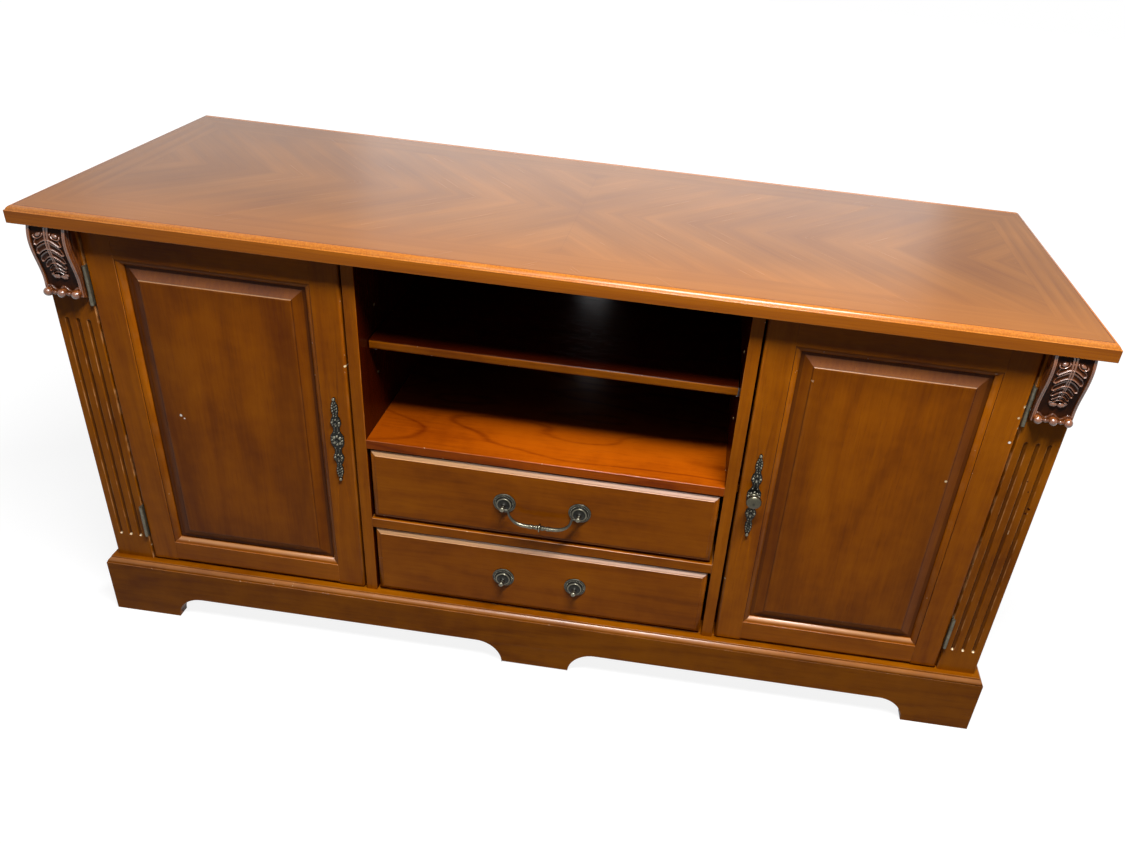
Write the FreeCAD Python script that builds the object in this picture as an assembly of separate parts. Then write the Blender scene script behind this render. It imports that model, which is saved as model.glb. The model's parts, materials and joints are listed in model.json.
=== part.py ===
import FreeCAD, Part
import math
import os

# A low television cabinet: two cupboards with framed and raised doors, an open bay with an
# adjustable shelf, and two drawers below the bay, on a plinth with bracket feet.
# Millimetres, +Z up. The origin is on the floor, under the middle of the cabinet, and the
# front faces -Y. Pieces that come in pairs are drawn on the +X side and mirrored.

# ---------------------------------------------------------------- driving dimensions
WIDTH = 1524.0
DEPTH = 508.0
HEIGHT = 762.0

# Top board and its moulded edge
TOP_THICK = 25.0
TOP_EDGE_FACE = 19.0
TOP_MOULD_WIDTH = 9.0
TOP_MOULD_STEP = 1.5
TOP_OVER_SIDE = 21.0
TOP_OVER_FRONT = 23.0
TOP_OVER_BACK = 10.0

# Plinth: boards, moulding strip and bracket feet
BASE_PROUD = 15.0
BASE_THICK = 20.0
BASE_FACE_HEIGHT = 105.0
BASE_STRIP_HEIGHT = 11.5
STRIP_FILLET = 1.2
STRIP_BEAD_WIDTH = 6.5
STRIP_BEAD_HEIGHT = 9.0
FOOT_WIDTH = 115.0
FOOT_ARCH_RISE = 46.0
CENTRE_FOOT_WIDTH = 117.0
CENTRE_FOOT_LIFT = 3.0
BLOCK_LEG = 60.0
BLOCK_LIFT = 12.0
CENTRE_BLOCK_DEPTH = 32.0

# Carcass boards
PANEL = 18.0
BOTTOM_BOARD = 18.0
BACK_THICK = 4.0
BACK_LAP = 9.0
BACK_SEAM = 1.0
BAY_HALF = 280.5
CABLE_HOLE_RADIUS = 30.0
CABLE_HOLE_ABOVE_SHELF = 75.0
CUPBOARD_HOLE_HEIGHT = 200.0

# Pilasters and corbels
PILASTER_WIDTH = 62.0
PILASTER_THICK = 20.0
FLUTE_PITCH = 17.0
FLUTE_RADIUS = 3.2
FLUTE_DEPTH = 2.5
FLUTE_FOOT = 47.0
FLUTE_HEAD = 153.5
CORBEL_WIDTH = 56.0
CORBEL_HEIGHT = 115.0
CORBEL_TOP_PROUD = 18.0
BELLY_BELOW = 24.0
BELLY_PROUD = 22.5
TURN_BELOW = 48.0
TURN_PROUD = 19.5
HOLLOW_BELOW = 72.0
HOLLOW_PROUD = 14.0
WAIST_BELOW = 95.5
WAIST_PROUD = 12.0
CORBEL_RIB = 4.5
CORBEL_RIB_RISE = 2.5
BAR_BELOW = 104.5
BAR_PROUD = 16.0
BAR_SEAT_HALF = 5.0
BAR_SEAT_PROUD = 12.1
BALL_RADIUS = 6.5
BALL_PITCH = 21.0
BALL_NECK_RADIUS = 3.0

# Shelves, shelf pins and drawer rail
SHELF_THICK = 16.0
FIXED_SHELF_HEIGHT = 314.0
RAIL_THICK = 18.0
RAIL_DEPTH = 60.0
BAY_SHELF_ABOVE = 144.5
BAY_SHELF_SETBACK = 34.0
CUPBOARD_SHELF_HEIGHT = 300.0
CUPBOARD_SHELF_SETBACK = 32.0
SHELF_END_GAP = 1.5
SHELF_BACK_GAP = 4.0
SUPPORT_WIDTH = 12.0
SUPPORT_TAB = 10.0
SUPPORT_DROP = 16.0
SUPPORT_METAL = 2.0
SUPPORT_FRONT_INSET = 33.0
SUPPORT_BACK_INSET = 60.0

# Doors
DOOR_THICK = 20.0
DOOR_GAP_LOCK = 4.0
DOOR_GAP_HINGE = 2.5
DOOR_GAP_BOTTOM = 4.0
DOOR_GAP_TOP = 3.5
DOOR_ROUND = 4.0
STILE_FACE = 43.5
TOP_RAIL_FACE = 44.0
BOTTOM_RAIL_FACE = 40.0
STICKING_WIDTH = 9.5
STICKING_DEPTH = 6.5
STICKING_STEP = 1.5
GROOVE_DEPTH = 10.0
GROOVE_FRONT = 8.0
GROOVE_WIDTH = 6.4
PANEL_SLACK = 0.2
PANEL_EDGE_GAP = 2.0
BEVEL_FLAT = 6.0
FIELD_INSET = 20.5
FIELD_SINK = 0.5
FIELD_STEP = 1.0

# Door hinges: butt hinges with a three-knuckle barrel in the gap
HINGE_LENGTH = 63.5
HINGE_BOTTOM_CENTRE = 85.0
HINGE_TOP_CENTRE = 94.0
KNUCKLES = 3
KNUCKLE_GAP = 0.3
BARREL_RADIUS = 2.75
BARREL_PROUD = 3.6
HINGE_PIN_RADIUS = 1.6
PIN_CLEARANCE = 0.05
LEAF_THICK = 1.2
LEAF_DEPTH = 18.0
LEAF_RELIEF = 0.25

# Door plates, knob and catches
PLATE_HEIGHT = 157.0
PLATE_THICK = 2.4
PLATE_INSET = 23.0
PLATE_BELOW_MIDDLE = 2.5
PLATE_CENTRE_HALF = 11.2
PLATE_WAIST_HALF = 5.4
PLATE_WAIST_UP = 18.0
PLATE_LOBE_HALF = 8.8
PLATE_LOBE_UP = 33.0
PLATE_NECK_HALF = 4.2
PLATE_NECK_UP = 47.5
PLATE_LEAF_HALF = 5.4
PLATE_LEAF_UP = 61.0
PLATE_TIP_NECK = 2.0
PLATE_TIP_NECK_UP = 73.1
PLATE_TIP_RADIUS = 3.0
BOSS_RADIUS = 8.1
BOSS_RISE = 2.0
KNOB_RADIUS = 12.0
KNOB_PROUD = 22.5
KNOB_RIM_PROUD = 18.5
KNOB_UNDER_PROUD = 14.0
KNOB_CROWN_RADIUS = 7.0
KNOB_NECK_RADIUS = 4.6
SHANK_RADIUS = 2.0
SHANK_HOLE_RADIUS = 2.25
SHANK_SHORT = 2.0
CATCH_WIDTH = 42.0
CATCH_HEIGHT = 14.0
CATCH_DEPTH = 22.0
CATCH_GAP = 0.3
STRIKE_THICK = 1.5
STRIKE_HEIGHT = 16.0
CATCH_INSET = 35.0

# Drawers
DRAWER_GAP = 4.5
DRAWER_FRONT_THICK = 20.0
DRAWER_EDGE_WIDTH = 7.5
DRAWER_EDGE_DEPTH = 4.0
DRAWER_EDGE_STEP = 0.8
BOX_CLEARANCE = 9.5
BOX_SIDE = 14.0
BOX_BACK = 12.0
BOX_HEIGHT = 104.0
BOX_LIFT = 8.0
BOX_BACK_GAP = 41.0
BOX_BOTTOM = 5.0
BOX_BOTTOM_UP = 10.0
BOX_GROOVE = 6.0
RUNNER_HEIGHT = 14.0
RUNNER_GROOVE = 8.0
RUNNER_SIDE_GAP = 1.0
RUNNER_TOP_GAP = 0.3
RUNNER_BOTTOM_GAP = 0.7
RUNNER_FRONT_INSET = 45.0
RUNNER_BACK_GAP = 10.0
RUNNER_STOP_GAP = 0.5

# Drawer pulls: turned posts and a swinging bail
POST_HALF_SPAN = 60.5
ROSETTE_RADIUS = 18.2
ROSETTE_RIM = 3.0
ROSETTE_DOME_RADIUS = 12.0
ROSETTE_RISE = 6.0
POST_PROUD = 17.0
POST_BALL_RADIUS = 4.4
POST_BALL_HALF = 3.5
POST_NECK_RADIUS = 3.0
BAIL_PIN_RADIUS = 1.2
BAIL_PIN_REACH = 4.0
SOCKET_SPARE = 0.5
BAIL_SHOULDER_GAP = 0.6
BAIL_WIRE_RADIUS = 2.5
BAIL_DROP = 26.6
BAIL_CORNERS = ((9.6, 0.0), (11.8, 11.0), (17.0, 19.0), (24.5, 24.2), (33.5, 26.3))
BAIL_STRAIGHT_HALF = 17.0
BAIL_END_LAP = 1.0
BAIL_RING_RADIUS = 7.0
BAIL_RING_WIDTH = 3.0
BAIL_COLLAR_RADIUS = 3.9
BAIL_COLLAR_WIDTH = 6.5
BAIL_GRIP_RADIUS = 3.0

# ---------------------------------------------------------------- places worked out
BODY_HALF = WIDTH / 2 - TOP_OVER_SIDE
FRONT = -DEPTH / 2 + TOP_OVER_FRONT
BACK = DEPTH / 2 - TOP_OVER_BACK
TOP_UNDER = HEIGHT - TOP_THICK
DECK = BASE_FACE_HEIGHT + BASE_STRIP_HEIGHT
DECK_UNDER = DECK - BOTTOM_BOARD
BASE_HALF = BODY_HALF + BASE_PROUD
BASE_FRONT = FRONT - BASE_PROUD
BASE_INNER = BASE_HALF - BASE_THICK
BASE_FRONT_INNER = BASE_FRONT + BASE_THICK
SIDE_INNER = BODY_HALF - PANEL
PILASTER_INNER = BODY_HALF - PILASTER_WIDTH
PILASTER_MIDDLE = BODY_HALF - PILASTER_WIDTH / 2
PILASTER_BACK = FRONT + PILASTER_THICK
DIVIDER_OUTER = BAY_HALF + PANEL
BACK_FACE = BACK - BACK_THICK

FIXED_SHELF_TOP = DECK + FIXED_SHELF_HEIGHT
FIXED_SHELF_UNDER = FIXED_SHELF_TOP - SHELF_THICK
RAIL_UNDER = DECK + (FIXED_SHELF_UNDER - DECK - RAIL_THICK) / 2
RAIL_TOP = RAIL_UNDER + RAIL_THICK
BAY_SHELF_UNDER = FIXED_SHELF_TOP + BAY_SHELF_ABOVE
CUPBOARD_SHELF_UNDER = DECK + CUPBOARD_SHELF_HEIGHT - SHELF_THICK

DOOR_INNER = DIVIDER_OUTER + DOOR_GAP_LOCK
DOOR_OUTER = PILASTER_INNER - DOOR_GAP_HINGE
DOOR_FOOT = DECK + DOOR_GAP_BOTTOM
DOOR_HEAD = TOP_UNDER - DOOR_GAP_TOP
DOOR_BACK = FRONT + DOOR_THICK
STILE_WIDTH = STILE_FACE + STICKING_WIDTH
SIGHT_INNER = DOOR_INNER + STILE_WIDTH
SIGHT_OUTER = DOOR_OUTER - STILE_WIDTH
SIGHT_FOOT = DOOR_FOOT + BOTTOM_RAIL_FACE + STICKING_WIDTH
SIGHT_HEAD = DOOR_HEAD - TOP_RAIL_FACE - STICKING_WIDTH

HINGE_X = (DOOR_OUTER + PILASTER_INNER) / 2
HINGE_Y = FRONT - BARREL_PROUD
HINGE_HEIGHTS = (DECK + HINGE_BOTTOM_CENTRE, TOP_UNDER - HINGE_TOP_CENTRE)

PLATE_X = DOOR_INNER + PLATE_INSET
PLATE_Z = (DOOR_FOOT + DOOR_HEAD) / 2 - PLATE_BELOW_MIDDLE

BOX_HALF = BAY_HALF - BOX_CLEARANCE
BOX_FRONT = FRONT + DRAWER_FRONT_THICK
BOX_END = BACK_FACE - BOX_BACK_GAP
DRAWERS = {"drawer_lower": DECK, "drawer_upper": RAIL_TOP}
DRAWER_HEIGHT = RAIL_UNDER - DECK - 2 * DRAWER_GAP
BAIL_AXIS_Y = FRONT - POST_PROUD

OUTLINE_PLANES = {
    "X": lambda u, v, along: FreeCAD.Vector(along, u, v),
    "Y": lambda u, v, along: FreeCAD.Vector(u, along, v),
    "Z": lambda u, v, along: FreeCAD.Vector(u, v, along),
}


# ---------------------------------------------------------------- drawing helpers
def box(x, y, z):
    """A board between a low and a high value on each axis."""
    corner = FreeCAD.Vector(x[0], y[0], z[0])
    return Part.makeBox(x[1] - x[0], y[1] - y[0], z[1] - z[0], corner)


def closed_wire(outline, place):
    """A wire through an outline: a corner (u, v), or an arc (through, corner)."""
    start = place(*outline[0])
    at = start
    edges = []
    for step in outline[1:]:
        is_arc = isinstance(step[0], tuple)
        end = place(*(step[1] if is_arc else step))
        if is_arc:
            edges.append(Part.Arc(at, place(*step[0]), end).toShape())
        else:
            edges.append(Part.makeLine(at, end))
        at = end
    if at.distanceToPoint(start) > 1e-7:
        edges.append(Part.makeLine(at, start))
    return Part.Wire(edges)


def swell(run, rise):
    """Middle of an arc that starts level along its run and ends after its rise."""
    radius = (run ** 2 + rise ** 2) / (2 * rise)
    half = math.asin(run / radius) / 2
    return radius * math.sin(half), radius * (1 - math.cos(half))


def prism(axis, low, high, outline):
    """An outline drawn square to an axis and extruded from low to high along it."""
    plane = OUTLINE_PLANES[axis]
    wire = closed_wire(outline, lambda u, v: plane(u, v, low))
    return Part.Face(wire).extrude(plane(0, 0, high - low))


def turned(centre_x, centre_z, outline):
    """A (radius, y) outline turned about a line along Y."""
    centre = FreeCAD.Vector(centre_x, 0, centre_z)
    wire = closed_wire(outline, lambda r, y: FreeCAD.Vector(centre_x + r, y, centre_z))
    return Part.Face(wire).revolve(centre, FreeCAD.Vector(0, 1, 0), 360)


def rod(radius, start, end):
    """A round rod between two points."""
    start = FreeCAD.Vector(*start)
    run = FreeCAD.Vector(*end) - start
    return Part.makeCylinder(radius, run.Length, start, run)


def ball(radius, x, y, z):
    return Part.makeSphere(radius, FreeCAD.Vector(x, y, z))


def mirrored(shape):
    return shape.mirror(FreeCAD.Vector(0, 0, 0), FreeCAD.Vector(1, 0, 0))


def pair(name, shape):
    """The right-hand piece and its mirror image on the left."""
    return {name + "_right": shape, name + "_left": mirrored(shape)}


def both_sides(shapes):
    """One group of separate solids: those given and their mirror images."""
    return Part.makeCompound(shapes + [mirrored(shape) for shape in shapes])


# ---------------------------------------------------------------- top and plinth
def edge_moulding(edge, inward):
    """The top board's edge from its underside up: a flat face, a step and an ovolo."""
    shoulder = TOP_UNDER + TOP_EDGE_FACE
    foot = edge + inward * TOP_MOULD_STEP
    end = edge + inward * TOP_MOULD_WIDTH
    over, down = swell(TOP_MOULD_WIDTH - TOP_MOULD_STEP, HEIGHT - shoulder)
    through = (end - inward * over, HEIGHT - down)
    return [(edge, TOP_UNDER), (edge, shoulder), (foot, shoulder), (through, (end, HEIGHT))]


def top_board():
    """Two crossing mouldings give the edge its mitred corners."""
    front = edge_moulding(-DEPTH / 2, 1)
    across = prism("X", -WIDTH / 2, WIDTH / 2, front + [(DEPTH / 2, HEIGHT), (DEPTH / 2, TOP_UNDER)])
    left = edge_moulding(-WIDTH / 2, 1)
    right = edge_moulding(WIDTH / 2, -1)
    right_down = [right[3][1], (right[3][0], right[2]), right[1], right[0]]
    along = prism("Y", -DEPTH / 2, DEPTH / 2, left + right_down)
    return across.common(along)


def foot_arch(foot_edge, arch_side):
    """The foot's inner edge as a quarter hollow rising to the apron."""
    quarter = math.sin(math.radians(45))
    spring = foot_edge + arch_side * FOOT_ARCH_RISE
    through = (spring - arch_side * FOOT_ARCH_RISE * quarter, FOOT_ARCH_RISE * quarter)
    return [(foot_edge, 0), (through, (spring, FOOT_ARCH_RISE))]


def base_front():
    """Front board: end feet and a centre foot, mitred to the side boards."""
    foot = BASE_HALF - FOOT_WIDTH
    half = CENTRE_FOOT_WIDTH / 2
    left = [(-BASE_HALF, BASE_FACE_HEIGHT), (-BASE_HALF, 0)] + foot_arch(-foot, 1)
    centre_left = foot_arch(-half, -1)
    centre_right = foot_arch(half, 1)
    right = foot_arch(foot, -1)
    outline = left
    outline += [centre_left[1][1], (centre_left[1][0], (-half, 0))]
    outline += [(half, 0), centre_right[1]]
    outline += [right[1][1], (right[1][0], (foot, 0))]
    outline += [(BASE_HALF, 0), (BASE_HALF, BASE_FACE_HEIGHT)]
    board = prism("Y", BASE_FRONT, BASE_FRONT_INNER, outline)
    lift = box((-half, half), (BASE_FRONT, BASE_FRONT_INNER), (0, CENTRE_FOOT_LIFT))
    return board.cut(lift).common(prism("Z", 0, BASE_FACE_HEIGHT, front_footprint()))


def front_footprint():
    return [
        (-BASE_HALF, BASE_FRONT),
        (BASE_HALF, BASE_FRONT),
        (BASE_INNER, BASE_FRONT_INNER),
        (-BASE_INNER, BASE_FRONT_INNER),
    ]


def side_footprint():
    return [
        (BASE_HALF, BASE_FRONT),
        (BASE_HALF, BACK),
        (BASE_INNER, BACK),
        (BASE_INNER, BASE_FRONT_INNER),
    ]


def base_side():
    """Side board with a bracket foot at each end, mitred at the front."""
    front_foot = foot_arch(BASE_FRONT + FOOT_WIDTH, 1)
    back_foot = foot_arch(BACK - FOOT_WIDTH, -1)
    outline = [(BASE_FRONT, BASE_FACE_HEIGHT), (BASE_FRONT, 0)] + front_foot
    outline += [back_foot[1][1], (back_foot[1][0], back_foot[0])]
    outline += [(BACK, 0), (BACK, BASE_FACE_HEIGHT)]
    board = prism("X", BASE_INNER, BASE_HALF, outline)
    return board.common(prism("Z", 0, BASE_FACE_HEIGHT, side_footprint()))


def strip_section(face, inward):
    """Moulding strip on the plinth: a fillet, a bead and a flat ledge."""
    z = BASE_FACE_HEIGHT
    foot = (face + inward * STRIP_FILLET, z + STRIP_FILLET)
    head = (face + inward * STRIP_BEAD_WIDTH, z + STRIP_BEAD_HEIGHT)
    up, back = swell(STRIP_BEAD_HEIGHT - STRIP_FILLET, STRIP_BEAD_WIDTH - STRIP_FILLET)
    return [
        (face, z),
        (face, foot[1]),
        foot,
        ((foot[0] + inward * back, foot[1] + up), head),
        (head[0], DECK),
        (face + inward * BASE_THICK, DECK),
        (face + inward * BASE_THICK, z),
    ]


def base_moulding():
    """Three mitred strips that cap the front and side boards."""
    front = prism("X", -BASE_HALF, BASE_HALF, strip_section(BASE_FRONT, 1))
    front = front.common(prism("Z", BASE_FACE_HEIGHT, DECK, front_footprint()))
    side = prism("Y", BASE_FRONT, BACK, strip_section(BASE_HALF, -1))
    side = side.common(prism("Z", BASE_FACE_HEIGHT, DECK, side_footprint()))
    return Part.makeCompound([front, side, mirrored(side)])


def base_back():
    return box((-BASE_INNER, BASE_INNER), (BACK - BASE_THICK, BACK), (FOOT_ARCH_RISE, DECK_UNDER))


def base_blocks():
    """Glue blocks under the bottom board, in the corners and behind the centre foot."""
    corner = (BASE_INNER, BASE_FRONT_INNER)
    front = [corner, (corner[0], corner[1] + BLOCK_LEG), (corner[0] - BLOCK_LEG, corner[1])]
    end = BACK - BASE_THICK
    back = [(BASE_INNER, end), (BASE_INNER - BLOCK_LEG, end), (BASE_INNER, end - BLOCK_LEG)]
    blocks = [prism("Z", BLOCK_LIFT, DECK_UNDER, outline) for outline in (front, back)]
    half = CENTRE_FOOT_WIDTH / 2
    depth = (BASE_FRONT_INNER, BASE_FRONT_INNER + CENTRE_BLOCK_DEPTH)
    centre = box((-half, half), depth, (BLOCK_LIFT, DECK_UNDER))
    return Part.makeCompound([both_sides(blocks), centre])


# ---------------------------------------------------------------- carcass
def bottom_board():
    return box((-BASE_INNER, BASE_INNER), (BASE_FRONT_INNER, BACK_FACE), (DECK_UNDER, DECK))


def side_panel():
    """Side board, rabbeted for the back panel."""
    board = box((SIDE_INNER, BODY_HALF), (PILASTER_BACK, BACK), (DECK, TOP_UNDER))
    rabbet = box((SIDE_INNER, SIDE_INNER + BACK_LAP), (BACK_FACE, BACK), (DECK, TOP_UNDER))
    return board.cut(rabbet)


def divider():
    """Upright between a cupboard and the bay."""
    return box((BAY_HALF, DIVIDER_OUTER), (FRONT, BACK_FACE), (DECK, TOP_UNDER))


def back_panels():
    """Three thin panels lapped onto the uprights, with cable holes."""
    low, high = DECK - BACK_LAP, TOP_UNDER
    middle_seam = (BAY_HALF + DIVIDER_OUTER) / 2
    hole_y = (BACK_FACE, BACK)
    centre = box((-middle_seam + BACK_SEAM / 2, middle_seam - BACK_SEAM / 2), hole_y, (low, high))
    shelf_tops = (FIXED_SHELF_TOP, BAY_SHELF_UNDER + SHELF_THICK)
    for shelf_top in shelf_tops:
        z = shelf_top + CABLE_HOLE_ABOVE_SHELF
        centre = centre.cut(rod(CABLE_HOLE_RADIUS, (0, BACK_FACE, z), (0, BACK, z)))
    outer = SIDE_INNER + BACK_LAP
    side = box((middle_seam + BACK_SEAM / 2, outer), hole_y, (DECK, high))
    hole_x = (DIVIDER_OUTER + SIDE_INNER) / 2
    hole_z = DECK + CUPBOARD_HOLE_HEIGHT
    side = side.cut(rod(CABLE_HOLE_RADIUS, (hole_x, BACK_FACE, hole_z), (hole_x, BACK, hole_z)))
    panels = pair("back_panel", side)
    panels["back_panel_centre"] = centre
    return panels


def pilaster():
    """Fluted face board beside the door: three stopped hollows."""
    board = box((PILASTER_INNER, BODY_HALF), (FRONT, PILASTER_BACK), (DECK, TOP_UNDER))
    axis_y = FRONT + FLUTE_DEPTH - FLUTE_RADIUS
    low = DECK + FLUTE_FOOT
    high = TOP_UNDER - FLUTE_HEAD
    flutes = []
    for step in (-1, 0, 1):
        x = PILASTER_MIDDLE + step * FLUTE_PITCH
        flutes.append(rod(FLUTE_RADIUS, (x, axis_y, low), (x, axis_y, high)))
    return board.cut(flutes)


def corbel_section(sink):
    """The bracket's side: a belly under the top board, drawn in to a waist and a seat."""

    def at(proud, below):
        return (FRONT - proud, TOP_UNDER - below)

    return [
        (FRONT, TOP_UNDER),
        at(CORBEL_TOP_PROUD - sink, 0),
        (at(BELLY_PROUD - sink, BELLY_BELOW), at(TURN_PROUD - sink, TURN_BELOW)),
        (at(HOLLOW_PROUD - sink, HOLLOW_BELOW), at(WAIST_PROUD - sink, WAIST_BELOW)),
        at(BAR_SEAT_PROUD, BAR_BELOW - BAR_SEAT_HALF),
        at(BAR_SEAT_PROUD, BAR_BELOW + BAR_SEAT_HALF),
        at(0, CORBEL_HEIGHT),
    ]


def corbel():
    """Scrolled bracket: a sunk leaf bed between two raised ribs, above a turned bar."""
    low, high = PILASTER_MIDDLE - CORBEL_WIDTH / 2, PILASTER_MIDDLE + CORBEL_WIDTH / 2
    bed = prism("X", low + CORBEL_RIB, high - CORBEL_RIB, corbel_section(CORBEL_RIB_RISE))
    ribs = [
        prism("X", low, low + CORBEL_RIB, corbel_section(0)),
        prism("X", high - CORBEL_RIB, high, corbel_section(0)),
    ]
    return bed.fuse(ribs + [corbel_bar()])


def corbel_bar():
    """Three round lobes on a neck, turned on one line along X."""
    outline = []
    for step in (-1, 0, 1):
        left = PILASTER_MIDDLE + step * BALL_PITCH - BALL_RADIUS
        right = left + 2 * BALL_RADIUS
        outline += [(left, BALL_NECK_RADIUS), (left, BALL_RADIUS)]
        outline += [(right, BALL_RADIUS), (right, BALL_NECK_RADIUS)]
    outline[0] = (outline[0][0], 0)
    outline[-1] = (outline[-1][0], 0)
    y = FRONT - BAR_PROUD
    z = TOP_UNDER - BAR_BELOW
    wire = closed_wire(outline, lambda x, r: FreeCAD.Vector(x, y, z + r))
    return Part.Face(wire).revolve(FreeCAD.Vector(0, y, z), FreeCAD.Vector(1, 0, 0), 360)


# ---------------------------------------------------------------- shelves and rail
def fixed_shelf():
    return box((-BAY_HALF, BAY_HALF), (FRONT, BACK_FACE), (FIXED_SHELF_UNDER, FIXED_SHELF_TOP))


def drawer_rail():
    return box((-BAY_HALF, BAY_HALF), (FRONT, FRONT + RAIL_DEPTH), (RAIL_UNDER, RAIL_TOP))


def loose_shelf(left, right, setback, under):
    """Adjustable shelf with its front arrises rounded over."""
    front = FRONT + setback
    top = under + SHELF_THICK
    back = BACK_FACE - SHELF_BACK_GAP
    r = SHELF_THICK / 4
    near = r * (1 - math.sin(math.radians(45)))
    section = [
        (back, under),
        (front + r, under),
        ((front + near, under + near), (front, under + r)),
        (front, top - r),
        ((front + near, top - near), (front + r, top)),
        (back, top),
    ]
    return prism("X", left + SHELF_END_GAP, right - SHELF_END_GAP, section)


def shelf_support(wall, shelf_side, y, under):
    """Angle support: a tab under the shelf and a plate flat on the wall."""
    tab_x = sorted((wall, wall + shelf_side * SUPPORT_TAB))
    plate_x = sorted((wall, wall + shelf_side * SUPPORT_METAL))
    width = (y - SUPPORT_WIDTH / 2, y + SUPPORT_WIDTH / 2)
    tab = box(tab_x, width, (under - SUPPORT_METAL, under))
    plate = box(plate_x, width, (under - SUPPORT_DROP, under))
    return tab.fuse(plate).removeSplitter()


def support_rows(setback):
    """Where the supports stand, behind a shelf's front edge and in front of its back."""
    return (FRONT + setback + SUPPORT_FRONT_INSET, BACK_FACE - SUPPORT_BACK_INSET)


def shelf_supports():
    supports = []
    for y in support_rows(BAY_SHELF_SETBACK):
        supports.append(shelf_support(BAY_HALF, -1, y, BAY_SHELF_UNDER))
    for y in support_rows(CUPBOARD_SHELF_SETBACK):
        supports.append(shelf_support(DIVIDER_OUTER, 1, y, CUPBOARD_SHELF_UNDER))
        supports.append(shelf_support(SIDE_INNER, -1, y, CUPBOARD_SHELF_UNDER))
    return both_sides(supports)


# ---------------------------------------------------------------- doors
def frame_section(outer, inner, front):
    """Frame member: rounded outer arris, ovolo sticking and panel groove inside.

    outer and inner are the member's edges across its width; the result is in
    (width, depth) order with depth running back from front.
    """
    side = 1 if inner > outer else -1
    near = DOOR_ROUND * (1 - math.sin(math.radians(45)))
    stick = inner - side * STICKING_WIDTH
    over, down = swell(STICKING_WIDTH, STICKING_DEPTH - STICKING_STEP)
    through = (stick + side * over, front + STICKING_STEP + down)
    groove = inner - side * GROOVE_DEPTH
    return [
        (outer, front + DOOR_THICK),
        (outer, front + DOOR_ROUND),
        ((outer + side * near, front + near), (outer + side * DOOR_ROUND, front)),
        (stick, front),
        (stick, front + STICKING_STEP),
        (through, (inner, front + STICKING_DEPTH)),
        (inner, front + GROOVE_FRONT),
        (groove, front + GROOVE_FRONT),
        (groove, front + GROOVE_FRONT + GROOVE_WIDTH),
        (inner, front + GROOVE_FRONT + GROOVE_WIDTH),
        (inner, front + DOOR_THICK),
    ]


def swapped(outline):
    """An outline with its two coordinates exchanged."""
    turned_over = []
    for step in outline:
        if isinstance(step[0], tuple):
            turned_over.append((step[0][::-1], step[1][::-1]))
        else:
            turned_over.append(step[::-1])
    return turned_over


def knob_hole():
    """The knob's clearance hole, run past the plate's boss and the stile's back."""
    front = FRONT - PLATE_THICK - BOSS_RISE - 1
    return rod(SHANK_HOLE_RADIUS, (PLATE_X, front, PLATE_Z), (PLATE_X, DOOR_BACK + 1, PLATE_Z))


def door_frame():
    """Stiles run the full height; the rails are coped over them and tenoned in."""
    hinge_stile = prism("Z", DOOR_FOOT, DOOR_HEAD, frame_section(DOOR_OUTER, SIGHT_OUTER, FRONT))
    lock_stile = prism("Z", DOOR_FOOT, DOOR_HEAD, frame_section(DOOR_INNER, SIGHT_INNER, FRONT))
    reach = (SIGHT_INNER - STICKING_WIDTH, SIGHT_OUTER + STICKING_WIDTH)
    rails = []
    for outer, inner in ((DOOR_HEAD, SIGHT_HEAD), (DOOR_FOOT, SIGHT_FOOT)):
        section = swapped(frame_section(outer, inner, FRONT))
        rails.append(prism("X", reach[0], reach[1], section).cut([hinge_stile, lock_stile]))
    lock_stile = lock_stile.cut(knob_hole())
    return {
        "hinge_stile": hinge_stile,
        "lock_stile": lock_stile,
        "top_rail": rails[0],
        "bottom_rail": rails[1],
    }


def panel_section(low, high):
    """Raised panel across one direction: tongues, flats, bevels, a step and the field."""
    tongue = GROOVE_DEPTH - PANEL_EDGE_GAP
    groove_front = FRONT + GROOVE_FRONT + PANEL_SLACK
    groove_back = FRONT + GROOVE_FRONT + GROOVE_WIDTH - PANEL_SLACK
    field = FRONT + FIELD_SINK
    shoulder = field + FIELD_STEP
    return [
        (low - tongue, groove_back),
        (low - tongue, groove_front),
        (low + BEVEL_FLAT, groove_front),
        (low + FIELD_INSET, shoulder),
        (low + FIELD_INSET, field),
        (high - FIELD_INSET, field),
        (high - FIELD_INSET, shoulder),
        (high - BEVEL_FLAT, groove_front),
        (high + tongue, groove_front),
        (high + tongue, groove_back),
    ]


def door_panel():
    """Two crossing sections give the field its mitred bevels."""
    tongue = GROOVE_DEPTH
    across = panel_section(SIGHT_INNER, SIGHT_OUTER)
    upright = prism("Z", SIGHT_FOOT - tongue, SIGHT_HEAD + tongue, across)
    up = swapped(panel_section(SIGHT_FOOT, SIGHT_HEAD))
    level = prism("X", SIGHT_INNER - tongue, SIGHT_OUTER + tongue, up)
    return upright.common(level)


def hinge_leaf(foot, x_near, x_far, knuckle_rows):
    """A leaf lying in the gap, with its own knuckles of the barrel."""
    pitch = HINGE_LENGTH / KNUCKLES
    relief = BARREL_RADIUS + LEAF_RELIEF
    leaf_back = FRONT + LEAF_DEPTH
    leaf = box((x_near, x_far), (HINGE_Y + relief, leaf_back), (foot, foot + HINGE_LENGTH))
    knuckles = []
    for row in knuckle_rows:
        low = foot + row * pitch + KNUCKLE_GAP / 2
        high = foot + (row + 1) * pitch - KNUCKLE_GAP / 2
        knuckles.append(rod(BARREL_RADIUS, (HINGE_X, HINGE_Y, low), (HINGE_X, HINGE_Y, high)))
        knuckles.append(box((x_near, x_far), (HINGE_Y, HINGE_Y + relief), (low, high)))
    return leaf.fuse(knuckles)


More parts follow.
